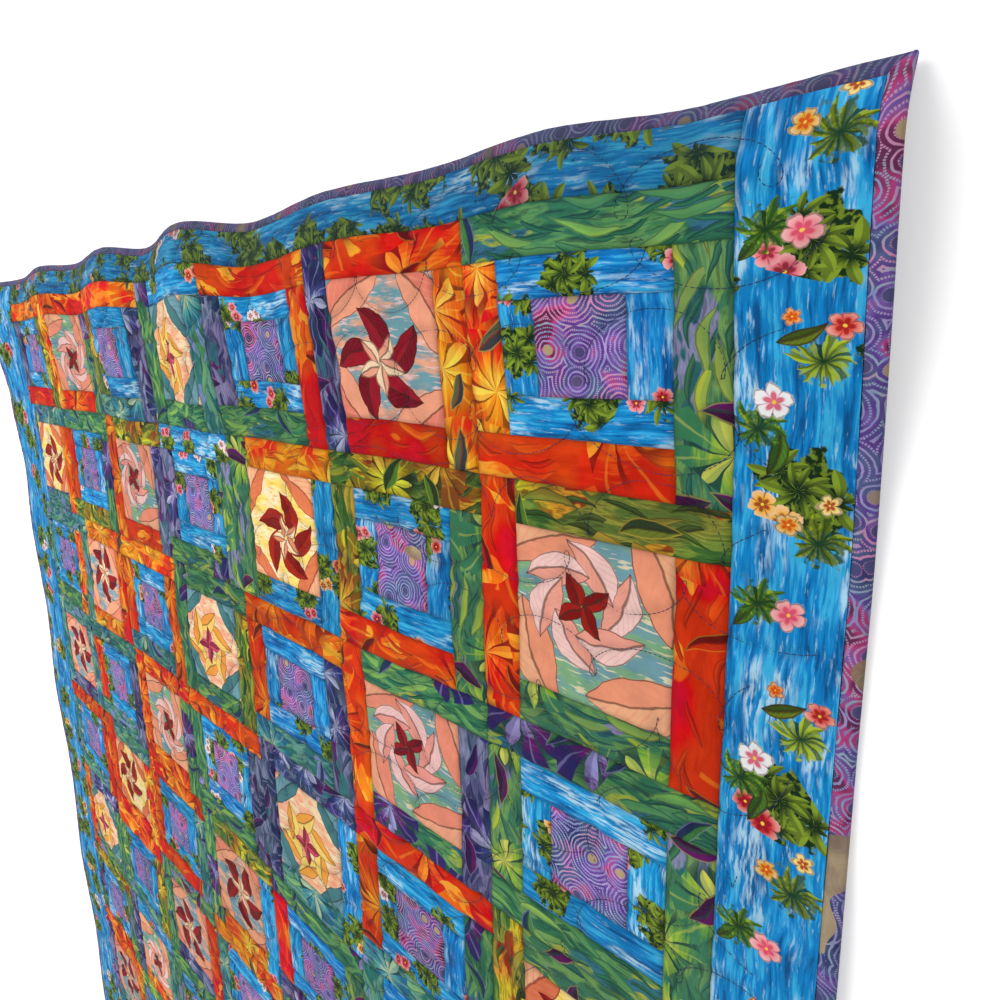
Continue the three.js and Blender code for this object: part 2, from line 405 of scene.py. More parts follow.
class Face:
    """The quilted face: where the material points (u, v) of the quilt's top come to lie."""

    # Sizes of the unevenness in the wadding, the creases and the seams' course, in millimetres.
    PUFFS = 31.0
    CREASES = (15.0, 8.0)
    WANDER = 95.0
    HOLD = (50.0, 30.0)  # how far in from the sides and the ends a seam's course is held straight

    def __init__(self, sizes):
        self.sizes = sizes
        self.lines = quilting_lines(sizes)
        self.grooves = Grooves(self.lines, sizes.groove_width / MM)

    def relief(self, u, v):
        """Height over the underside."""
        s = self.sizes
        seam = np.exp(-((seam_distance(u, v) / (s.seam_width / MM)) ** 2))
        pull = self.grooves.at(u, v)
        puff = (1 - pull) * (0.6 + 0.4 * lumps(u, v, self.PUFFS, 5))
        large, small = self.CREASES
        pucker = 0.35 * lumps(u, v, large, 7) + 0.25 * lumps(u, v, small, 6)
        rise = s.loft * puff + s.pucker * pucker
        return TOP + (rise - s.groove_depth * pull - s.seam_depth * seam) / MM

    def wobble(self, u, v):
        """The slight crookedness of patches cut and sewn by hand, none at the outer edge."""
        sides, ends = self.HOLD
        hold = clamp01((X_BOUND - np.abs(u)) / sides) * clamp01((Y_BOUND - np.abs(v)) / ends)
        crooked = self.sizes.crooked / MM * hold
        return u + crooked * lumps(u, v, self.WANDER, 8), v + crooked * lumps(u, v, self.WANDER, 9)

    def at(self, u, v, extra=0.0):
        """Points on the face, or this far above it."""
        a, b = self.wobble(u, v)
        return raised(a, b, self.relief(u, v) + extra)


# ---------------------------------------------------------------------------
# What a user can change
# ---------------------------------------------------------------------------


def linear(red, green, blue):
    """A colour written as 0 to 255 of red, green and blue, as the linear light that a shader takes."""
    shares = [channel / 255 for channel in (red, green, blue)]
    return tuple(s / 12.92 if s <= 0.04045 else ((s + 0.055) / 1.055) ** 2.4 for s in shares)


def paint(red, green, blue):
    """A colour for a node's socket."""
    return (*linear(red, green, blue), 1.0)


def size_prop(name, default, description):
    return FloatProperty(
        name=name, description=description, default=default, min=0.0, unit="LENGTH", precision=5
    )


def colour_prop(name, default, description):
    return FloatVectorProperty(
        name=name, description=description, default=linear(*default), min=0, max=1, subtype="COLOR"
    )


class QuiltSizes(PropertyGroup):
    """Sizes of the quilting and of the sewing."""

    loft: size_prop("Loft", 0.0010, "How high the face stands between two lines of quilting")
    pucker: size_prop("Pucker", 0.0010, "Height of the small creases")
    crooked: size_prop("Crookedness", 0.0016, "How far a seam strays from its straight line")
    seam_depth: size_prop("Seam depth", 0.0012, "Depth of the dip along a seam")
    seam_width: size_prop("Seam width", 0.0016, "Half width of the dip along a seam")
    row_spacing: size_prop("Row spacing", 0.058, "Distance between two rows of quilting")
    loop_length: size_prop("Loop length", 0.096, "Length of one loop of quilting")
    groove_depth: size_prop("Groove depth", 0.0014, "How far the quilting draws the face down")
    groove_width: size_prop("Groove width", 0.0044, "Half width of that groove")
    stitch_pitch: size_prop("Stitch pitch", 0.0038, "Distance from one stitch to the next")
    stitch_length: size_prop("Stitch length", 0.0041, "Length of thread that shows in a stitch")
    thread_width: size_prop("Thread width", 0.0008, "Thickness of the quilting thread")
    block_cells: IntProperty(
        name="Cells across a block", description="Fineness of the pieced top", default=63, min=15
    )


class QuiltColours(PropertyGroup):
    """Colours of the plain parts and of the water print."""

    water_deep: colour_prop("Deep water", (4, 82, 142), "Dark streaks of the water print")
    water: colour_prop("Water", (8, 130, 200), "Ground of the water print")
    water_light: colour_prop("Light water", (62, 184, 232), "Pale streaks of the water print")
    foam: colour_prop("Foam", (190, 226, 244), "White streaks of the water print")
    leaf_dark: colour_prop("Dark foliage", (16, 42, 20), "Shaded foliage on the water print")
    leaf_light: colour_prop("Light foliage", (132, 158, 44), "Lit foliage on the water print")
    thread: colour_prop("Thread", (24, 28, 70), "Quilting thread")
    backing: colour_prop("Backing", (62, 120, 128), "Cloth of the quilt's back")


# ---------------------------------------------------------------------------
# Nodes
# ---------------------------------------------------------------------------


class Nodes:
    """Adds nodes to a tree and joins them up."""

    def __init__(self, tree):
        self.tree = tree

    def node(self, kind, feeds=None, **settings):
        node = self.tree.nodes.new(kind)
        for name, value in settings.items():
            setattr(node, name, value)
        for socket, value in (feeds or {}).items():
            self.feed(node.inputs[socket], value)
        return node

    def feed(self, socket, value):
        if isinstance(value, bpy.types.NodeSocket):
            self.tree.links.new(value, socket)
        else:
            socket.default_value = value

    def math(self, operation, a, b=0.0, c=0.0, clamp=False):
        feeds = {0: a, 1: b, 2: c}
        return self.node("ShaderNodeMath", feeds, operation=operation, use_clamp=clamp).outputs[0]

    over = partialmethod(math, "DIVIDE")
    plus = partialmethod(math, "ADD")
    minus = partialmethod(math, "SUBTRACT")
    rest = partialmethod(math, "SUBTRACT", 1.0)  # what is left of 1
    line = partialmethod(math, "MULTIPLY_ADD")  # a value times a slope, and a start added
    below = partialmethod(math, "LESS_THAN")
    highest = partialmethod(math, "MAXIMUM")
    power = partialmethod(math, "POWER")
    size = partialmethod(math, "ABSOLUTE")  # a number without its sign
    whole = partialmethod(math, "FLOOR")
    part = partialmethod(math, "FRACT")  # what is over a whole number
    bounce = partialmethod(math, "PINGPONG")

    def times(self, *values):
        result = values[0]
        for value in values[1:]:
            result = self.math("MULTIPLY", result, value)
        return result

    def vector(self, operation, a, b=(0.0, 0.0, 0.0), scale=1.0):
        """A vector operation, or its number for a length."""
        node = self.node("ShaderNodeVectorMath", {0: a, 1: b, 3: scale}, operation=operation)
        return node.outputs[1 if operation == "LENGTH" else 0]

    def split(self, vector):
        return self.node("ShaderNodeSeparateXYZ", {0: vector}).outputs

    def join(self, x, y, z=0.0):
        return self.node("ShaderNodeCombineXYZ", {0: x, 1: y, 2: z}).outputs[0]

    def polar(self, vector, turn):
        """A vector's angle, with a turn added, and its length."""
        x, y, _ = self.split(vector)
        return self.plus(self.math("ARCTAN2", y, x), turn), self.vector("LENGTH", vector)

    def rise(self, value, low, high, start=0.0, end=1.0):
        """Rises smoothly from start to end while the value goes from low to high."""
        feeds = {"Value": value, "From Min": low, "From Max": high, "To Min": start, "To Max": end}
        return self.node("ShaderNodeMapRange", feeds, interpolation_type="SMOOTHSTEP").outputs[0]

    def mix(self, share, a, b):
        feeds = {0: share, 6: a, 7: b}
        return self.node("ShaderNodeMix", feeds, data_type="RGBA").outputs[2]

    def tint(self, base, mask, share, colour):
        """The base with this share of a colour over it where the mask is 1."""
        return self.mix(self.times(mask, share), base, colour)

    def between(self, share, a, b):
        return self.node("ShaderNodeMix", {0: share, 2: a, 3: b}, data_type="FLOAT").outputs[0]

    def dyed(self, colour, hue, value):
        """The colour with its hue turned, 0.5 being none, and its light scaled."""
        feeds = {"Hue": hue, "Saturation": 1.0, "Value": value, "Color": colour}
        return self.node("ShaderNodeHueSaturation", feeds).outputs[0]

    def ramp(self, share, stops, between="LINEAR"):
        """A colour for each share: stops are (place, colour) pairs."""
        node = self.node("ShaderNodeValToRGB", {0: share})
        node.color_ramp.interpolation = between
        elements = node.color_ramp.elements
        while len(elements) < len(stops):
            elements.new(0.5)
        for element, (place, colour) in zip(elements, stops):
            element.position = place
            element.color = paint(*colour)
        return node.outputs[0]

    def noise(self, vector, scale, detail=2.0, roughness=0.5, dimensions="2D"):
        feeds = {"Vector": vector, "Scale": scale, "Detail": detail, "Roughness": roughness}
        return self.node("ShaderNodeTexNoise", feeds, noise_dimensions=dimensions).outputs[0]

    def stretched(self, vector, x, y):
        return self.vector("MULTIPLY", vector, (x, y, 1.0))

    def streaks(self, vector, width, length, detail=3.0):
        """Noise in streaks about this wide and long, in metres, that run along the second axis."""
        return self.noise(self.stretched(vector, 1.0, width / length), 1 / width, detail, 0.6)

    def turned(self, vector, angle):
        feeds = {"Vector": vector, "Angle": angle}
        return self.node("ShaderNodeVectorRotate", feeds, rotation_type="Z_AXIS").outputs[0]

    def warped(self, vector, size, reach):
        """The vector pushed about by up to this reach, in swirls of about this size."""
        noise = self.node("ShaderNodeTexNoise", {"Vector": vector, "Scale": 1 / size, "Detail": 2.0})
        push = self.vector("SUBTRACT", noise.outputs[1], (0.5, 0.5, 0.5))
        return self.vector("ADD", vector, self.vector("SCALE", push, scale=2 * reach))

    def bump(self, height, strength, distance):
        feeds = {"Strength": strength, "Distance": distance, "Height": height}
        return self.node("ShaderNodeBump", feeds).outputs[0]

    def seen(self):
        """1 for what the camera sees itself or in a glossy surface."""
        path = self.node("ShaderNodeLightPath").outputs
        return self.highest(path["Is Camera Ray"], path["Is Glossy Ray"])

    def use(self, group, **feeds):
        """A shared group with its named inputs, spaces written as underscores; gives its outputs."""
        named = {name.replace("_", " "): value for name, value in feeds.items()}
        return self.node("ShaderNodeGroup", named, node_tree=group()).outputs


SOCKETS = {1: "NodeSocketFloat", 3: "NodeSocketVector", 4: "NodeSocketColor"}
OUTPUT_KINDS = {"Colour": "Color", "Local": "Vector"}  # the other outputs are plain numbers


def plain_name(title):
    return title.lower().replace(" ", "_")


def new_group(name, inputs, outputs, draw):
    """A node group: draw is given its nodes and its inputs by name, and gives its outputs in order."""
    tree = bpy.data.node_groups.new(name, "ShaderNodeTree")
    for title, value in inputs.items():
        width = 1 if isinstance(value, float) else len(value)
        socket = tree.interface.new_socket(title, in_out="INPUT", socket_type=SOCKETS[width])
        socket.default_value = value
    for title in outputs.split():
        kind = OUTPUT_KINDS.get(title, "Float")
        tree.interface.new_socket(title, in_out="OUTPUT", socket_type="NodeSocket" + kind)
    n = Nodes(tree)
    given = dict(zip([plain_name(title) for title in inputs], n.node("NodeGroupInput").outputs))
    n.node("NodeGroupOutput", dict(enumerate(draw(n, **given))))
    return tree


def shared(name, inputs, outputs):
    """Turns a function that draws a group into one that builds it once and then shares it."""

    def wrap(draw):
        made = []

        def group():
            if not made:
                made.append(new_group(name, inputs, outputs, draw))
            return made[0]

        return group

    return wrap


ORIGIN = (0.0, 0.0, 0.0)
WHITE = (1.0, 1.0, 1.0, 1.0)
PRINT_EDGE = 0.0008  # how softly a printed shape ends, in metres
PRINT_LINE = 0.0011  # width of a printed outline


@shared(
    "Motif places",
    {"Vector": ORIGIN, "Shift": ORIGIN, "Spacing": 0.05, "Stretch": 1.0, "Scatter": 0.8},
    "Local Turn Chance Tone",
)
def motif_cells(n, vector, shift, spacing, stretch, scatter):
    """Scatters places for motifs over the cloth, and tells each point where it is from the nearest."""
    longer = n.join(1.0, stretch, 1.0)
    place = n.vector("DIVIDE", n.vector("ADD", vector, shift), longer)
    feeds = {"Vector": place, "Scale": n.over(1.0, spacing), "Randomness": scatter}
    cells = n.node("ShaderNodeTexVoronoi", feeds, voronoi_dimensions="2D")
    red, green, blue = n.split(cells.outputs["Color"])
    away = n.vector("SUBTRACT", place, cells.outputs["Position"])
    return n.vector("MULTIPLY", away, longer), n.times(red, 2 * math.pi), green, blue


def printed_shape(n, room):
    """A shape's mask and its outline, from how far inside the shape each point is."""
    mask = n.rise(room, 0.0, PRINT_EDGE)
    return mask, n.minus(mask, n.rise(room, PRINT_LINE, PRINT_LINE + PRINT_EDGE), clamp=True)


@shared(
    "Leaf shape",
    {"Local": ORIGIN, "Turn": 0.0, "Length": 0.05, "Width": 0.014, "Bend": 0.12},
    "Leaf Edge Rib Veins Side",
)
def leaf_shape(n, local, turn, length, width, bend):
    """A pointed leaf with a rib and slanting veins, bent a little to one side."""
    x, y, _ = n.split(n.turned(local, turn))
    along = n.over(x, n.times(length, 0.5))
    squared = n.times(along, along)
    across = n.minus(y, n.times(squared, bend, length))
    off = n.size(across)
    fuller = n.highest(n.line(along, -0.3, 1.0), 0.0)
    half = n.times(n.rest(squared), fuller, width, 0.5)
    beat = n.part(n.over(n.line(off, 1.4, x), n.times(length, 0.12)))
    return (
        *printed_shape(n, n.minus(half, off)),
        n.rest(n.rise(off, PRINT_EDGE / 2, 2 * PRINT_EDGE)),
        n.rise(n.bounce(beat, 0.5), 0.34, 0.48),
        n.rise(across, -PRINT_EDGE, PRINT_EDGE),
    )


@shared(
    "Bloom shape",
    {"Local": ORIGIN, "Turn": 0.0, "Radius": 0.02, "Petals": 5.0},
    "Bloom Edge Folds Throat Heart Reach",
)
def bloom_shape(n, local, turn, radius, petals):
    """An open flower with ruffled petals, a streaked throat and a small heart."""
    angle, away = n.polar(local, turn)
    wave = n.size(n.math("COSINE", n.times(angle, petals, 0.5)))
    reach = n.over(away, radius)
    ruffle = n.times(n.minus(n.noise(local, 170.0, 2.0), 0.5), 0.005)
    petal = n.line(n.power(wave, 0.45), 0.42, 0.58)
    folds = n.rest(n.rise(wave, 0.05, 0.32))
    throat = n.minus(reach, n.line(wave, 0.34, 0.08))
    return (
        *printed_shape(n, n.minus(n.line(petal, radius, ruffle), away)),
        n.times(folds, n.rise(reach, 0.12, 0.3)),
        n.rest(n.rise(throat, 0.0, 0.2)),
        n.rest(n.rise(reach, 0.07, 0.13)),
        reach,
    )


@shared(
    "Spray shape",
    {"Local": ORIGIN, "Turn": 0.0, "Radius": 0.03, "Blades": 9.0, "Bend": 0.5, "Taper": 2.2},
    "Spray Blade Reach Tone Side Rib",
)
def spray_shape(n, local, turn, radius, blades, bend, taper):
    """Pointed blades that spread from one place, as a palm or a fan of leaves does."""
    angle, away = n.polar(local, turn)
    reach = n.over(away, radius)
    angle = n.line(reach, bend, angle)
    turns = n.times(angle, n.over(blades, 2 * math.pi))
    number = n.math("WRAP", n.whole(turns), blades, 0.0)
    spot = n.node("ShaderNodeTexWhiteNoise", {"W": number}, noise_dimensions="1D").outputs["Value"]
    part = n.part(turns)
    blade = n.times(n.bounce(part, 0.5), 2.0)
    taper = n.power(n.over(reach, n.line(spot, 0.65, 0.4)), taper)
    room = n.minus(n.minus(blade, 0.1), n.times(taper, 0.9))
    rib = n.times(n.rise(blade, 0.88, 0.96), n.rise(reach, 0.1, 0.3))
    return n.rise(room, 0.0, 0.1), blade, reach, spot, n.rise(part, 0.47, 0.53), rib


# The colours and numbers of a leaf print, in the order that LEAF_PRINTS gives them.
LEAF_INKS = (
    "Ground", "Brush", "Dark", "Other", "Other side", "Blade", "Back blade", "Fan heart", "Fan middle",
    "Fan tip", "Leaf", "Leaf side",
)
LEAF_SHARES = {
    "Grass": 0.5, "Fan share": 0.6, "Fan spacing": 0.075, "Leaf share": 0.3, "Blade share": 0.7, "Drift": 0.0,
}


@shared("Leaf print", {"Vector": ORIGIN, **dict.fromkeys(LEAF_INKS, WHITE), **LEAF_SHARES}, "Colour")
def leaf_print(n, vector, **given):
    """Fans, long blades and broad leaves over brushed grass, in one print's colours."""
    cloth = n.warped(n.warped(vector, 0.09, 0.014), 0.026, 0.003)
    broad = n.streaks(cloth, 0.016, 0.045, 2.0)
    fine = n.streaks(cloth, 0.0036, 0.026)
    colour = n.mix(n.rise(broad, 0.44, 0.56), given["ground"], given["brush"])
    other = n.mix(n.rise(broad, 0.47, 0.53), given["other"], given["other_side"])
    zone = n.noise(n.stretched(cloth, 1.3, 0.8), 15.0, 2.0, 0.4)
    colour = n.mix(n.rise(zone, 0.56, 0.575), colour, other)
    colour = n.tint(colour, n.rise(fine, 0.52, 0.62), given["grass"], given["back_blade"])
    colour = n.tint(colour, n.rise(fine, 0.36, 0.48, 1.0, 0.0), given["grass"], given["dark"])

    for shift, spacing, length, width, low, side in (
        ((0.31, 0.17, 0.0), 0.012, 0.05, 0.0058, "ground", "dark"),
        ((0.83, 0.59, 0.0), 0.017, 0.062, 0.0095, "blade", "brush"),
    ):
        cells = n.use(motif_cells, Vector=cloth, Shift=shift, Spacing=spacing, Stretch=3.4, Scatter=0.9)
        lean = n.line(cells["Turn"], 0.16, math.pi / 2 - 0.5)
        blade = n.use(leaf_shape, Local=cells["Local"], Turn=lean, Length=length, Width=width, Bend=0.12)
        tone = n.mix(cells["Tone"], given["back_blade"], given[low])
        tone = n.tint(tone, blade["Side"], 0.5, given[side])
        tone = n.tint(tone, blade["Edge"], 0.6, given["dark"])
        shows = n.below(cells["Chance"], given["blade_share"])
        colour = n.tint(colour, blade["Leaf"], shows, tone)

    spacing = given["fan_spacing"]
    wide = n.use(motif_cells, Vector=cloth, Shift=(0.12, 0.47, 0.0), Spacing=spacing, Scatter=0.7)
    feeds = dict(Local=wide["Local"], Turn=wide["Turn"], Radius=n.times(spacing, 1.15))
    fan = n.use(spray_shape, **feeds, Blades=9.0, Bend=0.2, Taper=4.5)
    uneven = n.line(n.minus(fan["Tone"], 0.5), 0.5, fan["Reach"])
    uneven = n.line(n.minus(fine, 0.5), 0.5, uneven)
    tone = n.mix(n.rise(uneven, 0.10, 0.36), given["fan_heart"], given["fan_middle"])
    tone = n.mix(n.rise(uneven, 0.34, 0.56), tone, given["fan_tip"])
    tone = n.tint(tone, fan["Side"], 0.4, given["fan_tip"])
    tone = n.tint(tone, fan["Rib"], 0.35, given["fan_heart"])
    shows = n.below(wide["Chance"], given["fan_share"])
    shade = n.times(n.rest(n.rise(fan["Reach"], 0.35, 0.6)), shows, 0.8)
    colour = n.mix(shade, colour, given["dark"])
    colour = n.tint(colour, fan["Spray"], shows, tone)

    single = n.use(motif_cells, Vector=cloth, Shift=(0.71, 0.91, 0.0), Spacing=0.056, Scatter=0.7)
    feeds = dict(Local=single["Local"], Turn=single["Turn"])
    leaf = n.use(leaf_shape, **feeds, Length=0.05, Width=0.0155, Bend=0.1)
    tone = n.mix(leaf["Side"], given["leaf"], given["leaf_side"])
    for part, share, ink in (("Veins", 0.25, "dark"), ("Rib", 0.7, "dark"), ("Edge", 0.35, "fan_heart")):
        tone = n.tint(tone, leaf[part], share, given[ink])
    shows = n.below(single["Chance"], given["leaf_share"])
    colour = n.tint(colour, leaf["Leaf"], shows, tone)

    patchy = n.rise(n.noise(vector, 13.0, 1.0), 0.42, 0.6)
    return [n.dyed(colour, n.line(patchy, given["drift"], 0.5), 1.0)]


# A clump of foliage: each spray's place and size as shares of the clump's, its blades and its bend.
CLUMP_SPRAYS = (
    (0.5, 0.35, 0.75, 9.0, 0.5),
    (-0.25, -0.6, 0.75, 7.0, -0.4),
    (-0.6, 0.15, 0.6, 8.0, 0.3),
    (0.05, 0.1, 0.85, 10.0, 0.35),
)
# And each bloom's place, size and turn.
CLUMP_BLOOMS = ((-0.62, 0.5, 0.42, 0.0), (-0.2, 0.86, 0.34, 1.0))
PETALS = (
    (0.0, (222, 66, 92)),
    (0.26, (240, 112, 132)),
    (0.46, (206, 34, 38)),
    (0.58, (240, 178, 44)),
    (0.74, (244, 222, 224)),
    (0.9, (236, 108, 56)),
)


@shared(
    "Foliage and bloom",
    {
        "Colour": WHITE, "Local": ORIGIN, "Turn": 0.0, "Tone": 0.5, "Size": 0.03, "Blooms": 1.0,
        "Dark": WHITE, "Light": WHITE,
    },
    "Colour",
)
def foliage(n, colour, local, turn, tone, size, blooms, dark, light):
    """A clump of palm-like sprays over a dark tangle, with two blooms beside it, laid over a colour."""
    turned = n.turned(local, turn)

    def beside(x, y):
        return n.vector("SUBTRACT", turned, n.vector("SCALE", (x, y, 0.0), scale=size))

    away = n.over(n.vector("LENGTH", turned), size)
    ragged = n.line(n.noise(local, 90.0, 3.0), 1.5, away)
    mottle = n.rise(n.noise(local, 240.0, 3.0), 0.45, 0.62, 0.0, 0.7)
    tangle = n.mix(mottle, dark, light)
    colour = n.mix(n.rest(n.rise(ragged, 1.5, 1.65)), colour, tangle)
    for x, y, share, blades, bend in CLUMP_SPRAYS:
        feeds = dict(Local=beside(x, y), Radius=n.times(size, share), Blades=blades)
        spray = n.use(spray_shape, **feeds, Bend=bend, Taper=2.8)
        lit = n.line(spray["Side"], 0.5, n.times(spray["Tone"], 0.6))
        lit = n.times(lit, n.rise(spray["Reach"], 0.1, 0.55))
        colour = n.mix(spray["Spray"], colour, n.mix(lit, dark, light))
    petals = n.ramp(tone, PETALS, "CONSTANT")
    for x, y, share, turn in CLUMP_BLOOMS:
        bloom = n.use(bloom_shape, Local=beside(x, y), Turn=turn, Radius=n.times(size, share))
        tone = n.mix(n.rise(bloom["Reach"], 0.35, 1.0, 0.0, 0.45), petals, paint(252, 226, 214))
        tone = n.tint(tone, bloom["Folds"], 0.7, paint(150, 20, 44))
        tone = n.tint(tone, bloom["Throat"], 0.85, paint(140, 10, 34))
        tone = n.mix(bloom["Heart"], tone, paint(250, 214, 70))
        colour = n.tint(colour, bloom["Bloom"], blooms, tone)
    return [colour]


WATER_INKS = ("Deep", "Middle", "Light", "Foam", "Leaf dark", "Leaf light")
CLUMPS = {"Clump spacing": 0.085, "Clump size": 0.027, "Clump share": 0.6, "Bloom share": 0.4}


@shared("Water print", {"Vector": ORIGIN, **dict.fromkeys(WATER_INKS, WHITE), **CLUMPS}, "Colour")
def water_print(
    n, vector, deep, middle, light, foam, leaf_dark, leaf_light, clump_spacing, clump_size, clump_share,
    bloom_share,
):
    """Falling water in streaks that run along the strip, with clumps of foliage and blooms."""
    bent = n.warped(vector, 0.07, 0.005)
    broad = n.streaks(bent, 0.010, 0.07, 2.0)
    fine = n.streaks(bent, 0.0024, 0.03)
    fall = n.line(broad, 0.55, n.times(fine, 0.45))
    colour = n.mix(n.rise(fall, 0.34, 0.50), deep, middle)
    colour = n.mix(n.rise(fall, 0.49, 0.62, 0.0, 0.85), colour, light)
    drop = n.streaks(n.vector("ADD", bent, (3.0, 1.0, 0.0)), 0.026, 0.09, 2.0)
    threads = n.streaks(n.vector("ADD", bent, (1.0, 2.0, 0.0)), 0.0028, 0.02)
    white = n.times(n.rise(drop, 0.53, 0.66), n.rise(threads, 0.40, 0.62), 0.85)
    white = n.highest(white, n.rise(threads, 0.6, 0.74, 0.0, 0.5))
    colour = n.mix(white, colour, foam)
    cells = n.use(motif_cells, Vector=vector, Spacing=clump_spacing, Scatter=0.8)
    feeds = {name: cells[name] for name in ("Local", "Turn", "Tone")}
    blooms = n.below(cells["Chance"], bloom_share)
    inks = dict(Dark=leaf_dark, Light=leaf_light)
    grown = n.use(foliage, Colour=colour, **feeds, Size=clump_size, Blooms=blooms, **inks)
    shows = n.below(cells["Chance"], clump_share)
    return [n.mix(shows, colour, grown["Colour"])]


RING_GROUND = (
    (0.30, (52, 54, 112)),
    (0.43, (92, 102, 152)),
    (0.50, (98, 60, 150)),
    (0.56, (130, 98, 180)),
    (0.63, (200, 60, 130)),
    (0.67, (112, 34, 82)),
)
RING_LINES = (
    (0.34, (184, 164, 222)),
    (0.45, (148, 156, 208)),
    (0.53, (158, 180, 200)),
    (0.63, (222, 150, 194)),
)


@shared(
    "Ring print", {"Vector": ORIGIN, "Ring spacing": 0.034, "Tan share": 0.18, "Depth": 0.0}, "Colour"
)
def swirl_print(n, vector, ring_spacing, tan_share, depth):
    """Rings of broken lines round scattered centres, in slate, purple and maroon with a little pink."""
    cells = n.use(motif_cells, Vector=vector, Spacing=ring_spacing, Scatter=0.75)
    angle, away = n.polar(cells["Local"], cells["Turn"])
    jitter = n.times(n.noise(vector, 150.0, 2.0), 0.0022)
    rings = n.over(n.plus(away, jitter), 0.0033)
    ring = n.times(n.bounce(n.part(rings), 0.5), 2.0)
    number = n.whole(rings)
    dashes = n.times(n.plus(number, 1.0), 1.7)
    tick = n.bounce(n.part(n.times(angle, dashes)), 0.5)
    broken = n.times(n.math("MODULO", number, 2.0), n.rise(tick, 0.1, 0.24, 1.0, 0.0))
    line = n.minus(n.rise(ring, 0.5, 0.74), broken, clamp=True)
    wash = n.noise(vector, 22.0, 2.0, 0.6)
    ground = n.ramp(wash, RING_GROUND)
    pale = n.ramp(n.noise(n.vector("ADD", vector, (0.4, 0.7, 0.0)), 24.0, 2.0), RING_LINES)
    colour = n.mix(line, ground, pale)
    heart = n.rest(n.rise(away, 0.0034, 0.0046))
    sandy = n.rise(cells["Tone"], 0.7, 0.75)
    colour = n.mix(heart, colour, n.mix(sandy, paint(84, 78, 130), paint(190, 164, 124)))
    patchy = n.noise(n.stretched(n.vector("ADD", vector, (1.3, 0.2, 0.0)), 0.5, 1.0), 17.0, 1.0)
    tan = n.times(n.below(patchy, n.line(tan_share, 0.5, 0.2)), 0.9)
    colour = n.mix(tan, colour, n.mix(n.rise(wash, 0.4, 0.6), paint(196, 172, 126), paint(150, 128, 92)))
    # depth darkens the print toward slate; on the head binding this darkening is painted shade
    return [n.mix(depth, colour, paint(50, 58, 74))]


@shared(
    "Hand dye", {"Colour": WHITE, "Vector": ORIGIN, "Patch": ORIGIN, "Seam": 0.0, "Groove": 0.0}, "Colour"
)
def dye_and_painted_shade(n, colour, vector, patch, seam, groove):
    """The uneven take-up of dye, a little different on each patch, with painted shade in the seams and
    quilting grooves.
    """
    first, second, _ = n.split(patch)
    light = n.line(n.noise(vector, 42.0, 4.0, 0.6), 0.44, 0.76)
    light = n.times(light, n.line(first, 0.3, 0.85))
    # painted shade: the seam ditches and quilting grooves are darkened in the colour
    shade = n.times(n.line(seam, -0.5, 1.0), n.line(groove, -0.16, 1.0))
    return [n.vector("SCALE", n.dyed(colour, n.line(second, 0.014, 0.493), light), scale=shade)]


@shared("Cotton weave", {"Vector": ORIGIN, "Thread spacing": 0.00075}, "Height Roughness")
def cotton_weave(n, vector, thread_spacing):
    """Height of a plain weave with slubs, and the roughness that goes with it."""
    threads = n.over(math.pi, thread_spacing)
    x, y, _ = n.split(n.vector("SCALE", vector, scale=threads))
    over = n.times(n.math("SINE", x), n.math("SINE", y))
    slub = n.noise(n.stretched(vector, 1.0, 0.15), 700.0, 2.0)
    crinkle = n.noise(vector, 150.0, 3.0, 0.55)
    height = n.line(crinkle, 0.9, n.line(over, 0.18, n.times(slub, 0.25)))
    return height, n.rise(crinkle, 0.3, 0.7, 0.78, 0.92)


# ---------------------------------------------------------------------------
# Cloths
# ---------------------------------------------------------------------------

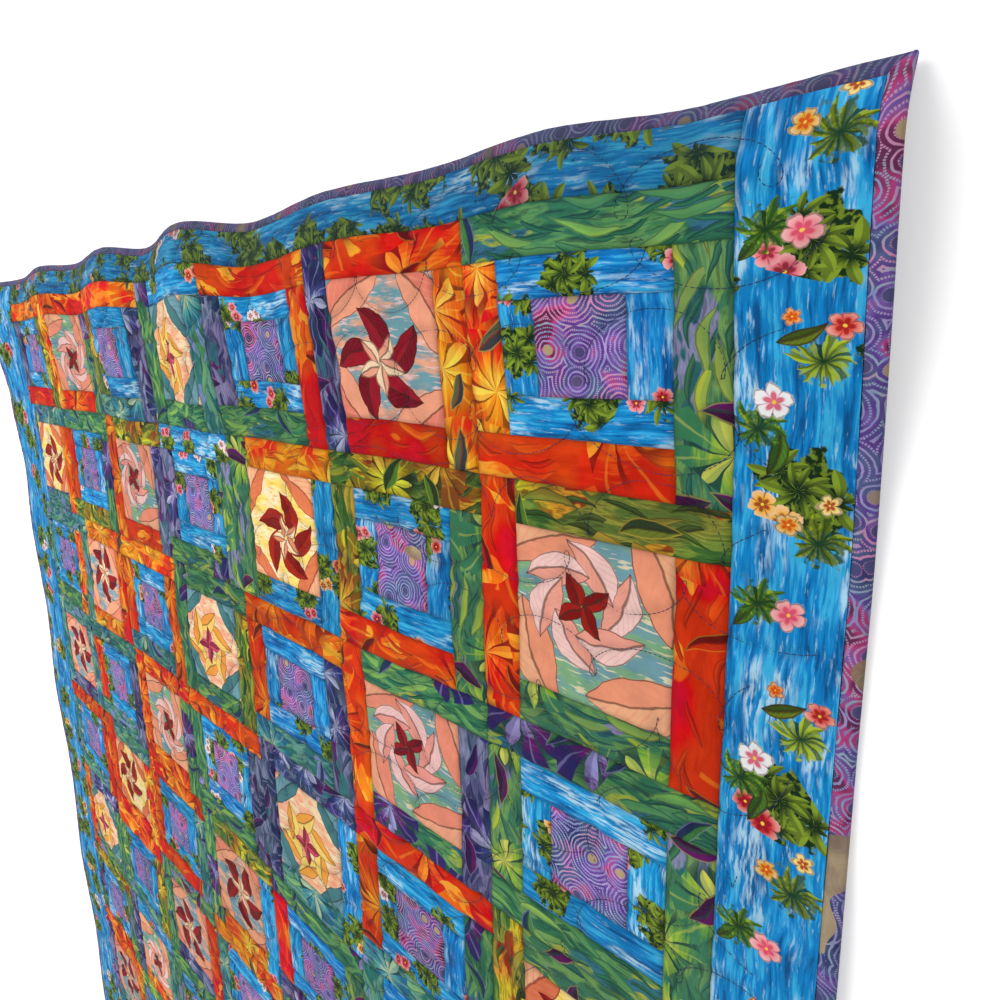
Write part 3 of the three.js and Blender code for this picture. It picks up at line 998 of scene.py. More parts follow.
# Each is one design in its own colours: its name, then what LEAF_INKS and LEAF_SHARES name.
LEAF_PRINTS = {
    "R": ("Red", (
        (208, 4, 0), (222, 20, 2), (122, 4, 12), (242, 104, 16), (250, 160, 44), (246, 110, 20),
        (236, 56, 8), (248, 150, 40), (234, 78, 10), (208, 8, 2), (104, 6, 16), (206, 10, 4),
    ), (0.1, 0.55, 0.085, 0.35, 0.45, 0.012)),
    "O": ("Orange", (
        (240, 94, 12), (248, 140, 30), (120, 24, 12), (224, 14, 6), (236, 60, 12), (250, 188, 62),
        (228, 44, 8), (250, 196, 76), (244, 124, 20), (220, 22, 6), (46, 56, 62), (92, 92, 66),
    ), (0.12, 0.8, 0.07, 0.34, 0.55, 0.03)),
    "G": ("Green", (
        (46, 108, 80), (96, 152, 90), (18, 54, 60), (52, 106, 134), (160, 176, 66), (134, 186, 82),
        (50, 122, 90), (158, 150, 208), (100, 22, 100), (44, 34, 96), (30, 46, 84), (64, 126, 62),
    ), (0.6, 0.3, 0.075, 0.3, 0.85, -0.015)),
    "T": ("Teal", (
        (44, 114, 112), (104, 160, 142), (18, 54, 72), (124, 134, 188), (70, 136, 92), (122, 180, 112),
        (38, 106, 120), (176, 198, 156), (74, 152, 156), (28, 96, 134), (36, 42, 98), (112, 120, 176),
    ), (0.5, 0.4, 0.065, 0.35, 0.75, -0.03)),
    "L": ("Lime", (
        (66, 122, 84), (116, 160, 86), (26, 62, 54), (40, 94, 104), (140, 136, 176), (182, 196, 56),
        (46, 112, 100), (206, 208, 90), (140, 180, 56), (56, 122, 84), (96, 14, 92), (64, 8, 62),
    ), (0.5, 0.35, 0.06, 0.5, 0.75, 0.01)),
    "N": ("Lavender", (
        (88, 88, 134), (146, 136, 176), (24, 22, 62), (52, 108, 122), (98, 20, 92), (158, 154, 196),
        (52, 54, 112), (182, 174, 214), (82, 58, 138), (40, 30, 88), (92, 16, 92), (50, 12, 70),
    ), (0.4, 0.45, 0.065, 0.45, 0.7, -0.05)),
    "B": ("Olive", (
        (92, 112, 48), (150, 150, 58), (38, 36, 18), (214, 152, 40), (158, 52, 20), (216, 172, 54),
        (66, 84, 36), (232, 192, 66), (200, 142, 38), (132, 72, 24), (44, 60, 34), (110, 124, 42),
    ), (0.5, 0.45, 0.06, 0.35, 0.8, 0.07)),
}

# Colours of the sprigs and of the wreaths' leaves.
INKS = dict(
    wine=(112, 6, 18), crimson=(166, 18, 20), coral=(232, 92, 80), rose=(222, 72, 104),
    pink=(242, 142, 152), blush=(248, 206, 200), peach=(244, 176, 136), salmon=(238, 138, 110),
    cream=(250, 226, 184), butter=(248, 214, 112), gold=(222, 168, 44), amber=(236, 134, 26),
    rust=(212, 72, 18), umber=(52, 36, 22), olive=(108, 124, 28), lime=(176, 198, 44),
    leaf=(76, 122, 36), forest=(20, 56, 24), mint=(132, 178, 130), teal=(38, 106, 108),
    mist=(112, 158, 170), white=(240, 244, 248),
)

# The panels: name, inks of the ground, brushing, strokes and outlines, the middle of the two inner
# wreaths, and the three wreaths. A wreath: its count, radius and first angle, how far its leaves turn
# from pointing out, their length and width, and their two inks. Millimetres and degrees.
PANELS = {
    "1": ("blush", "mist mint cream umber", (-9, 7), (
        (4, 74, 40, 70, 106, 46, "peach", "salmon"),
        (6, 36, 12, 58, 62, 30, "blush", "salmon"),
        (4, 14, 30, 0, 32, 15, "crimson", "wine"),
    )),
    "2": ("scarlet", "butter cream gold wine", (10, -6), (
        (4, 76, 50, 98, 100, 40, "peach", "rust"),
        (5, 34, 0, 44, 62, 26, "crimson", "wine"),
        (5, 15, 36, 0, 30, 14, "cream", "rust"),
    )),
    "3": ("butter", "peach cream salmon umber", (7, 9), (
        (4, 76, 45, 90, 96, 36, "mist", "teal"),
        (6, 35, 25, -52, 60, 28, "butter", "amber"),
        (4, 14, 0, 0, 32, 15, "rose", "wine"),
    )),
    "4": ("wine", "mist peach blush umber", (-6, -9), (
        (4, 74, 38, 84, 108, 46, "salmon", "peach"),
        (5, 35, 18, 34, 60, 29, "wine", "crimson"),
        (5, 16, 54, 0, 34, 16, "cream", "salmon"),
    )),
}

# One repeat of the sprigs on the right border: kind, x from its seam, y along it, length, width of a
# leaf or number of a spray's blades, turn in degrees and two inks.
SPRIG_REPEAT = 236.0
SPRIGS = (
    ("leaf", 12, 22, 30, 10, 62, "leaf", "forest"),
    ("leaf", 24, 30, 28, 9, -34, "olive", "forest"),
    ("spray", 18, 30, 20, 11, 15, "leaf", "forest"),
    ("bloom", 36, 26, 11, 0, 20, "pink", "rose"),
    ("spray", 50, 76, 21, 13, 50, "olive", "forest"),
    ("bloom", 33, 84, 8, 0, 0, "gold", "rust"),
    ("bloom", 54, 100, 7, 0, 30, "butter", "crimson"),
    ("leaf", 26, 128, 34, 11, 78, "leaf", "forest"),
    ("spray", 14, 142, 19, 10, 80, "leaf", "forest"),
    ("bloom", 22, 158, 12, 0, 55, "white", "rose"),
    ("spray", 48, 184, 20, 12, 0, "lime", "forest"),
    ("leaf", 38, 198, 30, 10, 24, "olive", "forest"),
    ("bloom", 57, 204, 9, 0, 10, "coral", "crimson"),
    ("bloom", 32, 210, 6, 0, 40, "amber", "rust"),
)

SHEEN = 0.04
WEAVE_BUMP = 0.35
WEAVE_RELIEF = 0.0006


def new_material(name):
    material = bpy.data.materials.new(name)
    material.use_nodes = True
    material.node_tree.nodes.clear()
    return material, Nodes(material.node_tree)


def end_material(n, **feeds):
    """Ends a material in a surface with these inputs, spaces written as underscores."""
    surface = n.node("ShaderNodeBsdfPrincipled", {key.replace("_", " "): feeds[key] for key in feeds})
    n.node("ShaderNodeOutputMaterial", {"Surface": surface.outputs[0]})


def cotton(draw):
    """Turns a function that draws a print at a place on the flat cloth into one that makes its cotton.

    The print is dyed unevenly, given painted shade along its seams and quilting grooves, and ended in a soft
    weave.
    """

    def make(name, *values, **named):
        material, n = new_material(name)
        place = n.node("ShaderNodeUVMap", uv_map="cloth").outputs[0]
        colour = draw(n, place, *values, **named)
        patch = n.node("ShaderNodeUVMap", uv_map="patch").outputs[0]
        seam = n.node("ShaderNodeAttribute", attribute_name="seam").outputs["Fac"]
        groove = n.node("ShaderNodeAttribute", attribute_name="groove").outputs["Fac"]
        # dyed: the print with its uneven dye and the painted shade of the seams and grooves
        dyed = n.use(dye_and_painted_shade, Colour=colour, Vector=place, Patch=patch, Seam=seam, Groove=groove)
        weave = n.use(cotton_weave, Vector=place)
        bump = n.bump(weave["Height"], WEAVE_BUMP, WEAVE_RELIEF)
        feeds = dict(Specular_IOR_Level=0.12, Sheen_Weight=SHEEN, Sheen_Roughness=0.5, Normal=bump)
        end_material(n, Base_Color=dyed["Colour"], Roughness=weave["Roughness"], **feeds)
        return material

    return make


@cotton
def leaf_cloth(n, place, inks, shares):
    """One leaf print."""
    feeds = {ink: paint(*colour) for ink, colour in zip(LEAF_INKS, inks)}
    return n.use(leaf_print, Vector=place, **feeds, **dict(zip(LEAF_SHARES, shares)))["Colour"]


# Each kind of motif gives its mask and its colour. ink and accent are its two inks, outline a third.


def leaf_motif(n, local, size, width, turn, ink, accent, outline):
    shape = n.use(leaf_shape, Local=local, Turn=-turn, Length=size * MM, Width=width * MM, Bend=0.1)
    tone = n.tint(ink, shape["Side"], 0.7, accent)
    tone = n.tint(tone, shape["Veins"], 0.4, accent)
    tone = n.tint(tone, shape["Rib"], 0.7, outline)
    return shape["Leaf"], n.tint(tone, shape["Edge"], 0.75, outline)


def bloom_motif(n, local, size, width, turn, ink, accent, outline):
    shape = n.use(bloom_shape, Local=local, Turn=turn, Radius=size * MM)
    tone = n.mix(n.rise(shape["Reach"], 0.35, 1.0, 0.0, 0.4), ink, paint(255, 240, 224))
    tone = n.tint(tone, shape["Folds"], 0.55, accent)
    tone = n.tint(tone, shape["Throat"], 0.9, accent)
    tone = n.mix(shape["Heart"], tone, paint(250, 206, 80))
    return shape["Bloom"], n.tint(tone, shape["Edge"], 0.6, outline)


def spray_motif(n, local, size, blades, turn, ink, accent, outline):
    """A ragged dark mass with a spray over it."""
    feeds = dict(Local=n.warped(local, 0.02, 0.005), Turn=turn, Radius=size * MM, Blades=float(blades))
    shape = n.use(spray_shape, **feeds, Bend=0.5, Taper=2.4)
    lit = n.line(shape["Side"], 0.6, n.times(shape["Tone"], 0.4))
    lit = n.times(lit, n.rise(shape["Reach"], 0.0, 0.5))
    ragged = n.line(n.noise(local, 160.0, 2.0), 1.2, shape["Reach"])
    tangle = n.rise(ragged, 1.1, 1.3, 0.9, 0.0)
    sunlit = n.rise(n.noise(local, 220.0, 2.0), 0.48, 0.64, 0.0, 0.6)
    tone = n.tint(n.mix(lit, accent, ink), sunlit, lit, paint(*INKS["lime"]))
    return n.highest(shape["Spray"], tangle), tone


MOTIFS = dict(leaf=leaf_motif, bloom=bloom_motif, spray=spray_motif)


def lay_motifs(n, place, colour, motifs, outline):
    """Lays motifs over a colour, each at its own place."""
    for kind, x, y, size, width, turn, ink, accent in motifs:
        local = n.vector("SUBTRACT", place, (x * MM, y * MM, 0.0))
        inks = (paint(*INKS[ink]), paint(*INKS[accent]), paint(*INKS[outline]))
        mask, tone = MOTIFS[kind](n, local, size, width, math.radians(turn), *inks)
        colour = n.mix(mask, colour, tone)
    return colour


def wreath(middle, count, radius, first, lean, size, width, ink, accent):
    """The leaves of a wreath, evenly round its middle."""
    rows = []
    for k in range(count):
        angle = first + 360 * k / count
        x = middle[0] + radius * math.cos(math.radians(angle))
        y = middle[1] + radius * math.sin(math.radians(angle))
        rows.append(("leaf", x, y, size, width, angle + lean, ink, accent))
    return rows


@cotton
def panel_cloth(n, place, inks, middle, wreaths):
    """A brushed ground with wreaths of leaves."""
    ground, brush, line, outline = inks.split()
    cloth = n.warped(place, 0.022, 0.004)
    brushed = n.noise(n.stretched(cloth, 0.3, 1.0), 60.0, 4.0, 0.6)
    colour = n.mix(n.rise(brushed, 0.4, 0.62), paint(*INKS[ground]), paint(*INKS[brush]))
    strokes = n.noise(n.stretched(cloth, 0.16, 1.0), 330.0, 1.0)
    colour = n.mix(n.rise(strokes, 0.6, 0.68, 0.0, 0.7), colour, paint(*INKS[line]))
    for spot, row in zip(((0, 0), middle, middle), wreaths):
        colour = lay_motifs(n, cloth, colour, wreath(spot, *row), outline)
    return colour


WATER_KEYS = ("water_deep", "water", "water_light", "foam", "leaf_dark", "leaf_light")
# painted shade: the slate that the end borders are darkened toward, for the shade where the head edge curls
# up
SHADED_WATER = (22, 48, 54)


@cotton
def water_cloth(n, place, colours, clumps, start=None, depth=0.0):
    """The water print, its clumps' spacing, size and share given in that order.

    start: where the repeated sprigs count from, if the cloth has them. depth: how far it is darkened toward
    SHADED_WATER, a painted shade.
    """
    feeds = {ink: (*getattr(colours, key), 1.0) for ink, key in zip(WATER_INKS, WATER_KEYS)}
    colour = n.use(water_print, Vector=place, **feeds, **dict(zip(CLUMPS, clumps)))["Colour"]
    if start is not None:
        cloth = n.warped(n.vector("SUBTRACT", place, (start, start, 0.0)), 0.02, 0.0018)
        x, y, _ = n.split(cloth)
        along = n.math("FLOORED_MODULO", y, SPRIG_REPEAT * MM)
        colour = lay_motifs(n, n.join(x, along, 0.0), colour, SPRIGS, "umber")
    # depth mixes in painted shade
    return n.mix(depth, colour, paint(*SHADED_WATER))


@cotton
def ring_cloth(n, place, ring_spacing, tan_share, depth=0.0):
    """The ring print. depth: how far it is darkened toward slate, which on the head binding is painted shade.
    """
    feeds = dict(Ring_spacing=ring_spacing, Tan_share=tan_share, Depth=depth)
    return n.use(swirl_print, Vector=place, **feeds)["Colour"]


@cotton
def plain_cloth(n, place, colour):
    """A plain cotton, clouded by its dye."""
    shade = n.rise(n.noise(place, 18.0, 4.0, 0.6), 0.3, 0.7, 0.72, 1.12)
    return n.vector("SCALE", (*colour,), scale=shade)


def thread_cotton(name, colour):
    """Quilting thread: dark, a little uneven and faintly glossy."""
    material, n = new_material(name)
    place = n.node("ShaderNodeTexCoord").outputs["Object"]
    uneven = n.noise(place, 60.0, 2.0, dimensions="3D")
    twist = n.noise(n.stretched(place, 900.0, 900.0), 1.0, 1.0, dimensions="3D")
    end_material(
        n, Base_Color=n.vector("SCALE", (*colour,), scale=n.rise(uneven, 0.3, 0.7, 0.7, 1.4)),
        Roughness=n.rise(uneven, 0.3, 0.7, 0.5, 0.7), Specular_IOR_Level=0.35,
        Normal=n.bump(twist, 0.3, 0.0002),
    )
    return material


# ---------------------------------------------------------------------------
# Pieces
# ---------------------------------------------------------------------------

BODY = "root"
SEAM_SHADE = 1.3  # half width of the painted shade along a seam, in millimetres
BESIDE_SEAM = 1.3  # millimetres from a seam to the grid line beside it
BAKE_MARGIN = 0.02  # left clear round each part of a piece's own map, as a share of its side
BAKE_INNER = 1 - 2 * BAKE_MARGIN
CUT_REACH = 4.0  # how far apart in its print two cuts may lie, in metres either way
PLACED_NUDGE = 0.0015  # how far a panel's cut strays, as a share of a scattered print's
MIDDLE_PATCH = (0.5, 0.5)  # the dye of a piece that is one patch


def deselect_all():
    if bpy.context.object and bpy.context.object.mode != "OBJECT":
        bpy.ops.object.mode_set(mode="OBJECT")
    bpy.ops.object.select_all(action="DESELECT")


def values_of(items, name, width=1, kind=np.float32):
    """One value, or a row of values, from each vertex or corner."""
    values = np.empty(len(items) * width, kind)
    items.foreach_get(name, values)
    return values.reshape(-1, width) if width > 1 else values


def set_map(mesh, name, x, y):
    layer = mesh.uv_layers.new(name=name)
    layer.uv.foreach_set("vector", np.stack([x, y], axis=-1).astype(np.float32).ravel())


def each(face_values):
    """A value of each face, given to its four corners."""
    return np.repeat(face_values, 4, axis=0)


class Sheet:
    """A sheet of cloth: a grid primitive with these lines, its corners moved to where place puts (u, v)."""

    def __init__(self, name, us, vs, place, cloths):
        deselect_all()
        bpy.ops.mesh.primitive_grid_add(x_subdivisions=len(us) - 1, y_subdivisions=len(vs) - 1, size=2)
        self.piece = bpy.context.object
        self.piece.name = name
        self.mesh = mesh = self.piece.data
        mesh.name = name
        flat = values_of(mesh.vertices, "co", 3)
        self.u = np.asarray(us)[np.rint((flat[:, 0] + 1) / 2 * (len(us) - 1)).astype(int)]
        self.v = np.asarray(vs)[np.rint((flat[:, 1] + 1) / 2 * (len(vs) - 1)).astype(int)]
        mesh.vertices.foreach_set("co", place(self.u, self.v).astype(np.float32).ravel())
        mesh.uv_layers.remove(mesh.uv_layers[0])
        mesh.update()
        mesh.shade_smooth()
        for material in cloths:
            mesh.materials.append(material)
        vertex = values_of(mesh.loops, "vertex_index", kind=np.int32)
        self.corner_u = self.u[vertex]
        self.corner_v = self.v[vertex]
        self.face_u = self.corner_u.reshape(-1, 4).mean(1)
        self.face_v = self.corner_v.reshape(-1, 4).mean(1)

    def cut(self, x, y, first=MIDDLE_PATCH[0], second=MIDDLE_PATCH[1]):
        """Where each corner is on its print, and the two numbers that vary its patch's dye."""
        set_map(self.mesh, "cloth", x, y)
        set_map(self.mesh, "patch", np.broadcast_to(first, x.shape), np.broadcast_to(second, x.shape))

    def bake_columns(self, across, along, face_along, length, width, columns):
        """The piece's own map: its length cut into columns that lie side by side in one square."""
        column = np.clip(np.floor(each(face_along) / length * columns), 0, columns - 1)
        x = BAKE_MARGIN + BAKE_INNER * across / width
        y = BAKE_MARGIN + BAKE_INNER * (along / length * columns - column)
        set_map(self.mesh, "OFBake", (column + x) / columns, y)

    def shade(self, seam, groove):
        """How near each point is to a seam and to the quilting, for the painted shade in the cloth's colours.
        """
        for name, values in (("seam", seam), ("groove", groove)):
            attribute = self.mesh.attributes.new(name, "FLOAT", "POINT")
            attribute.data.foreach_set("value", np.asarray(values, np.float32))

    def shade_relief(self, quilt_face):
        # painted shade in the seam ditches and the quilting grooves
        seam = np.exp(-((seam_distance(self.u, self.v) / SEAM_SHADE) ** 2))
        self.shade(seam, quilt_face.grooves.at(self.u, self.v))

    def finish(self, nodes=()):
        """Gives the piece its body and hides the imported parts it stands for."""
        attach(self.piece, BODY)
        if nodes:
            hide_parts(*nodes)


def seamed_lines(places, cell):
    """Lines from seam to seam, about a cell apart, with one close to each side of each seam."""
    lines = [places[0]]
    for low, high in zip(places, places[1:]):
        cells = max(4, round((high - low) / cell) + 1)
        lines += [*np.linspace(low + BESIDE_SEAM, high - BESIDE_SEAM, cells - 1), high]
    return np.array(lines)


def block_lines(start, count, lines, cell):
    """The seam lines of a run of blocks, filled with grid lines."""
    return seamed_lines(sorted({start + k * lines[-1] + line for k in range(count) for line in lines}), cell)


def block_prints(row):
    """The print of each patch in a row of blocks, in the order of PATCHES."""
    return [[*block.replace("-", ""), *INNER_PRINTS] for block in PLAN[row].split()]


def piece_row(row, quilt_face, cloths, cell):
    """One row of blocks, every patch with its own cut of its print."""
    top = Y_SEAM - row * BLOCK_LENGTH
    us = block_lines(LEFT_SEAM, COLUMNS, ACROSS_LINES, cell)
    vs = block_lines(top - BLOCK_LENGTH, 1, DOWN_LINES, cell)
    names = np.array(block_prints(row))
    used, prints = np.unique(names, return_inverse=True)
    sheet = Sheet(f"block_row_{row + 1}", us, vs, quilt_face.at, [cloths[name] for name in used])
    column, _, patch, _, _ = patch_under(sheet.face_u, sheet.face_v)
    pick = (column, patch)
    chosen = prints.reshape(names.shape)[pick]
    sheet.mesh.polygons.foreach_set("material_index", chosen.astype(np.int32))

    # Each patch is cut from its own place in its print, lengthways along the patch.
    rng = np.random.default_rng(SEED + 7 * row)
    placed = np.isin(names, list(PANELS))
    nudge = np.where(placed, PLACED_NUDGE, 1.0)
    shift_x = rng.uniform(-CUT_REACH, CUT_REACH, names.shape) * nudge
    shift_y = rng.uniform(-CUT_REACH, CUT_REACH, names.shape) * nudge
    turned = rng.integers(0, 2, names.shape) * 2 - 1
    first = rng.uniform(0, 1, names.shape)
    second = rng.uniform(0, 1, names.shape)
    lengthways = np.array([letter in ACROSS for letter in PATCHES]) & ~placed

    box = PATCH_BOX[(np.arange(COLUMNS) + row) % 2]
    centre_p = (box[..., 0] + box[..., 1]) / 2
    centre_q = (box[..., 2] + box[..., 3]) / 2
    block_left = LEFT_SEAM + column * BLOCK_WIDTH
    p = sheet.corner_u - each(block_left + centre_p[pick])
    q = sheet.corner_v - each(top - centre_q[pick])
    across = each(lengthways[pick])
    flip = each(turned[pick])
    x = np.where(across, q, p) * flip * MM + each(shift_x[pick])
    y = np.where(across, p, q) * flip * MM + each(shift_y[pick])
    sheet.cut(x, y, each(first[pick]), each(second[pick]))

    # The row's own map: its blocks lie three by three in one square.
    x = BAKE_MARGIN + BAKE_INNER * ((sheet.corner_u - each(block_left)) / BLOCK_WIDTH)
    y = BAKE_MARGIN + BAKE_INNER * ((sheet.corner_v - (top - BLOCK_LENGTH)) / BLOCK_LENGTH)
    which = each(column)
    set_map(sheet.mesh, "OFBake", (which % 3 + x) / 3, (which // 3 + y) / 3)
    sheet.shade_relief(quilt_face)
    sheet.finish()
    return sheet.piece


# The borders: the lines that bound each on the flat cloth, and which way its length runs.
BORDERS = {
    "head": dict(u=(LEFT_SEAM, RIGHT_SEAM), v=(Y_SEAM, Y_BOUND), across=True, start=0.37),
    "foot": dict(u=(LEFT_SEAM, RIGHT_SEAM), v=(-Y_BOUND, -Y_SEAM), across=True, start=1.91),
    "left": dict(u=(-X_BOUND, LEFT_SEAM), v=(-Y_BOUND, Y_BOUND), across=False, start=3.13),
    "right": dict(u=(RIGHT_SEAM, X_BOUND), v=(-Y_BOUND, Y_BOUND), across=False, start=4.27),
}


def sew_border(side, quilt_face, strip, cell):
    """One strip of the water print, its streaks running along it."""
    border = BORDERS[side]
    us = seamed_lines(border["u"], cell)
    vs = seamed_lines(border["v"], cell)
    sheet = Sheet(f"border_{side}_cloth", us, vs, quilt_face.at, [strip])
    ways = [(us, sheet.corner_u, sheet.face_u), (vs, sheet.corner_v, sheet.face_v)]
    if border["across"]:
        ways.reverse()
    (wide, across, _), (long, along, face_along) = ways
    width = wide[-1] - wide[0]
    length = long[-1] - long[0]
    across = across - wide[0]
    along = along - long[0]
    sheet.cut(across * MM + border["start"], along * MM + border["start"])
    columns = max(1, round(math.sqrt(length / width)))
    sheet.bake_columns(across, along, face_along - long[0], length, width, columns)
    sheet.shade_relief(quilt_face)
    sheet.finish([f"border_{side}"])


# The binding's section, from its seam on the face round the edge to its seam on the back:
# distance in from the outer edge, and height over the underside.
ROUND = BINDING_THICKNESS / 2
BINDING_SECTION = [
    (BINDING + 0.4, TOP - 0.6),
    (BINDING - 0.4, TOP + 0.2),
    (BINDING - 2.2, BINDING_THICKNESS + 0.3),
    (BINDING - 4.6, BINDING_THICKNESS + 0.5),
    (BINDING - 6.8, BINDING_THICKNESS + 0.2),
    *[(ROUND - ROUND * math.sin(a), ROUND + ROUND * math.cos(a)) for a in np.linspace(0, math.pi, 8)],
    (BINDING / 2, 0.05),
    (BINDING + 0.2, 0.05),
]
BINDING_STEP = 0.63  # metres of print between one side's cut and the next
BINDING_CELL = 4.0
MITRE = 30.0  # how far from a corner the strip's places along the edge start to fan out
# Gathers along the binding: where each is read, its size, its seed and its height.
GATHERS = ((40.0, 7.0, 12, 0.3), (300.0, 26.0, 13, 0.35))
WAVER = (90.0, 60.0, 14, 0.5)  # the same for how far its seam strays


def along_edge(line, outward, at, size, seed, reach):
    """Unevenness along one side of the quilt."""
    return lumps(line, at * outward + 0 * line, size, seed) * reach


def fold_binding(side, strip):
    """One side's binding: a strip folded round the edge, mitred at the corners."""
    long_side = side in ("left", "right")
    half = HALF_LENGTH if long_side else HALF_WIDTH
    bound = Y_BOUND if long_side else X_BOUND
    edge = HALF_WIDTH if long_side else HALF_LENGTH
    outward = 1 if side in ("right", "head") else -1
    section = np.array(BINDING_SECTION)
    steps = np.linalg.norm(np.diff(section, axis=0), axis=1)
    run = np.concatenate([[0.0], np.cumsum(steps)])
    along_lines = np.linspace(-bound, bound, round(2 * bound / BINDING_CELL) + 1)
    if side in ("left", "head"):
        along_lines = along_lines[::-1]

    def place(line, wrap):
        """line: the place along the inner seam; wrap: the place round the section."""
        from_edge = np.interp(wrap, run, section[:, 0])
        c = np.interp(wrap, run, section[:, 1])
        on_top = clamp01((c - ROUND) / ROUND)
        c = c + sum(along_edge(line, outward, *gather) for gather in GATHERS) * on_top
        uneven = along_edge(line, outward, *WAVER)
        from_edge = from_edge + uneven * clamp01((from_edge - 4) / 6) * on_top
        stretch = (half - from_edge) / (half - BINDING)
        p = line * (1 + (stretch - 1) * clamp01((np.abs(line) - bound + MITRE) / MITRE))
        q = outward * (edge - from_edge)
        return raised(q, p, c) if long_side else raised(p, q, c)

    sheet = Sheet(f"binding_{side}_cloth", along_lines, run, place, [strip])
    start = BINDING_STEP * (1 + list(BORDERS).index(side))
    across = sheet.corner_v
    sheet.cut(across * MM + start, sheet.corner_u * MM + start)
    along = sheet.corner_u + bound
    columns = round(math.sqrt(2 * bound / run[-1]))
    sheet.bake_columns(across, along, sheet.face_u + bound, 2 * bound, run[-1], columns)
    # painted shade along the binding's seam on the face, none from the quilting
    sheet.shade(np.exp(-(sheet.v**2)), np.zeros(len(sheet.v)))
    sheet.finish([f"binding_{side}"])


BACKING_CELLS = (110, 132)
BACKING_RISE = 0.25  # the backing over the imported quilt's underside
BACKING_MAP = 2.1 * Y_BOUND  # what its own map spans


def lay_backing(plain):
    """The plain cloth of the quilt's back, face down."""
    us = np.linspace(X_BOUND, -X_BOUND, BACKING_CELLS[0] + 1)
    vs = np.linspace(-Y_BOUND, Y_BOUND, BACKING_CELLS[1] + 1)
    sheet = Sheet("backing", us, vs, lambda u, v: raised(u, v, np.full(u.shape, BACKING_RISE)), [plain])
    sheet.cut(sheet.corner_u * MM, sheet.corner_v * MM)
    set_map(sheet.mesh, "OFBake", 0.5 + sheet.corner_u / BACKING_MAP, 0.5 + sheet.corner_v / BACKING_MAP)
    sheet.shade(np.zeros(len(sheet.u)), np.zeros(len(sheet.u)))
    sheet.finish()


THREAD_RISE = 0.18  # the thread's middle over the face, in millimetres
THREAD_PIECES = 3  # the quilting is joined in this many pieces


def make_stitch(sizes):
    """One stitch: a short grain of thread, round in the middle and sunk at its ends."""
    deselect_all()
    bpy.ops.mesh.primitive_cone_add(
        vertices=3, radius1=sizes.thread_width / 2, radius2=0, depth=sizes.stitch_length / 2,
        end_fill_type="NOTHING", location=(0, 0, sizes.stitch_length / 4),
    )
    stitch = bpy.context.object
    stitch.name = "stitch"
    bpy.ops.object.transform_apply(location=True, rotation=True, scale=True)
    mirror = stitch.modifiers.new("Other end", "MIRROR")
    mirror.use_axis = (False, False, True)
    mirror.merge_threshold = 1e-5
    bpy.ops.object.modifier_apply(modifier=mirror.name)
    bpy.ops.object.mode_set(mode="EDIT")
    bpy.ops.mesh.select_all(action="SELECT")
    bpy.ops.mesh.normals_make_consistent(inside=False)
    bpy.ops.transform.rotate(value=math.pi / 2, orient_axis="Y", center_override=(0, 0, 0))
    bpy.ops.object.mode_set(mode="OBJECT")
    return stitch


def sewing_group():
    """Geometry nodes that put a stitch at each point, along the point's own direction."""
    tree = bpy.data.node_groups.new("Sew stitches", "GeometryNodeTree")
    for name, way, kind in (
        ("Geometry", "INPUT", "Geometry"), ("Stitch", "INPUT", "Object"), ("Geometry", "OUTPUT", "Geometry"),
    ):
        tree.interface.new_socket(name, in_out=way, socket_type="NodeSocket" + kind)
    n = Nodes(tree)
    start = n.node("NodeGroupInput").outputs
    stitch = n.node("GeometryNodeObjectInfo", {"Object": start["Stitch"]}).outputs["Geometry"]
    named = n.node("GeometryNodeInputNamedAttribute", {"Name": "along"}, data_type="FLOAT_VECTOR")
    along = named.outputs["Attribute"]
    turn = n.node("FunctionNodeAlignRotationToVector", {"Vector": along}, axis="X").outputs[0]
    feeds = {"Points": start["Geometry"], "Instance": stitch, "Rotation": turn}
    copies = n.node("GeometryNodeInstanceOnPoints", feeds).outputs[0]
    joined = n.node("GeometryNodeRealizeInstances", {0: copies}).outputs[0]
    n.node("NodeGroupOutput", {0: joined})
    return tree


def sew_lines(name, lines, quilt_face, sizes, stitch, group, thread):
    """Sews along the lines: one joined mesh of stitches, each tilted as the cloth is."""
    spots, ways = [], []
    for line in lines:
        points = evenly(line, sizes.stitch_pitch / MM)
        ahead = quilt_face.at(points[1:, 0], points[1:, 1], THREAD_RISE)
        here = quilt_face.at(points[:-1, 0], points[:-1, 1], THREAD_RISE)
        spots.append((here + ahead) / 2)
        ways.append(ahead - here)
    mesh = bpy.data.meshes.new(name)
    mesh.vertices.add(sum(len(places) for places in spots))
    mesh.vertices.foreach_set("co", np.concatenate(spots).astype(np.float32).ravel())
    mesh.attributes.new("along", "FLOAT_VECTOR", "POINT")
    mesh.attributes["along"].data.foreach_set("vector", np.concatenate(ways).astype(np.float32).ravel())
    piece = bpy.data.objects.new(name, mesh)
    bpy.context.scene.collection.objects.link(piece)
    deselect_all()
    bpy.context.view_layer.objects.active = piece
    piece.select_set(True)
    sewing = piece.modifiers.new("Sewing", "NODES")
    sewing.node_group = group
    sewing[group.interface.items_tree["Stitch"].identifier] = stitch
    bpy.ops.object.modifier_apply(modifier=sewing.name)
    mesh = piece.data
    mesh.materials.clear()
    mesh.materials.append(thread)
    vertex = values_of(mesh.loops, "vertex_index", kind=np.int32)
    corner = values_of(mesh.vertices, "co", 3)[vertex]
    low = corner.min(0)
    span = (corner.max(0) - low).max() * (1 + BAKE_MARGIN)
    for layer in list(mesh.uv_layers):
        mesh.uv_layers.remove(layer)
    set_map(mesh, "OFBake", (corner[:, 0] - low[0]) / span, (corner[:, 1] - low[1]) / span)
    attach(piece, BODY)


# ---------------------------------------------------------------------------
# Operators
# ---------------------------------------------------------------------------

KEPT = {}


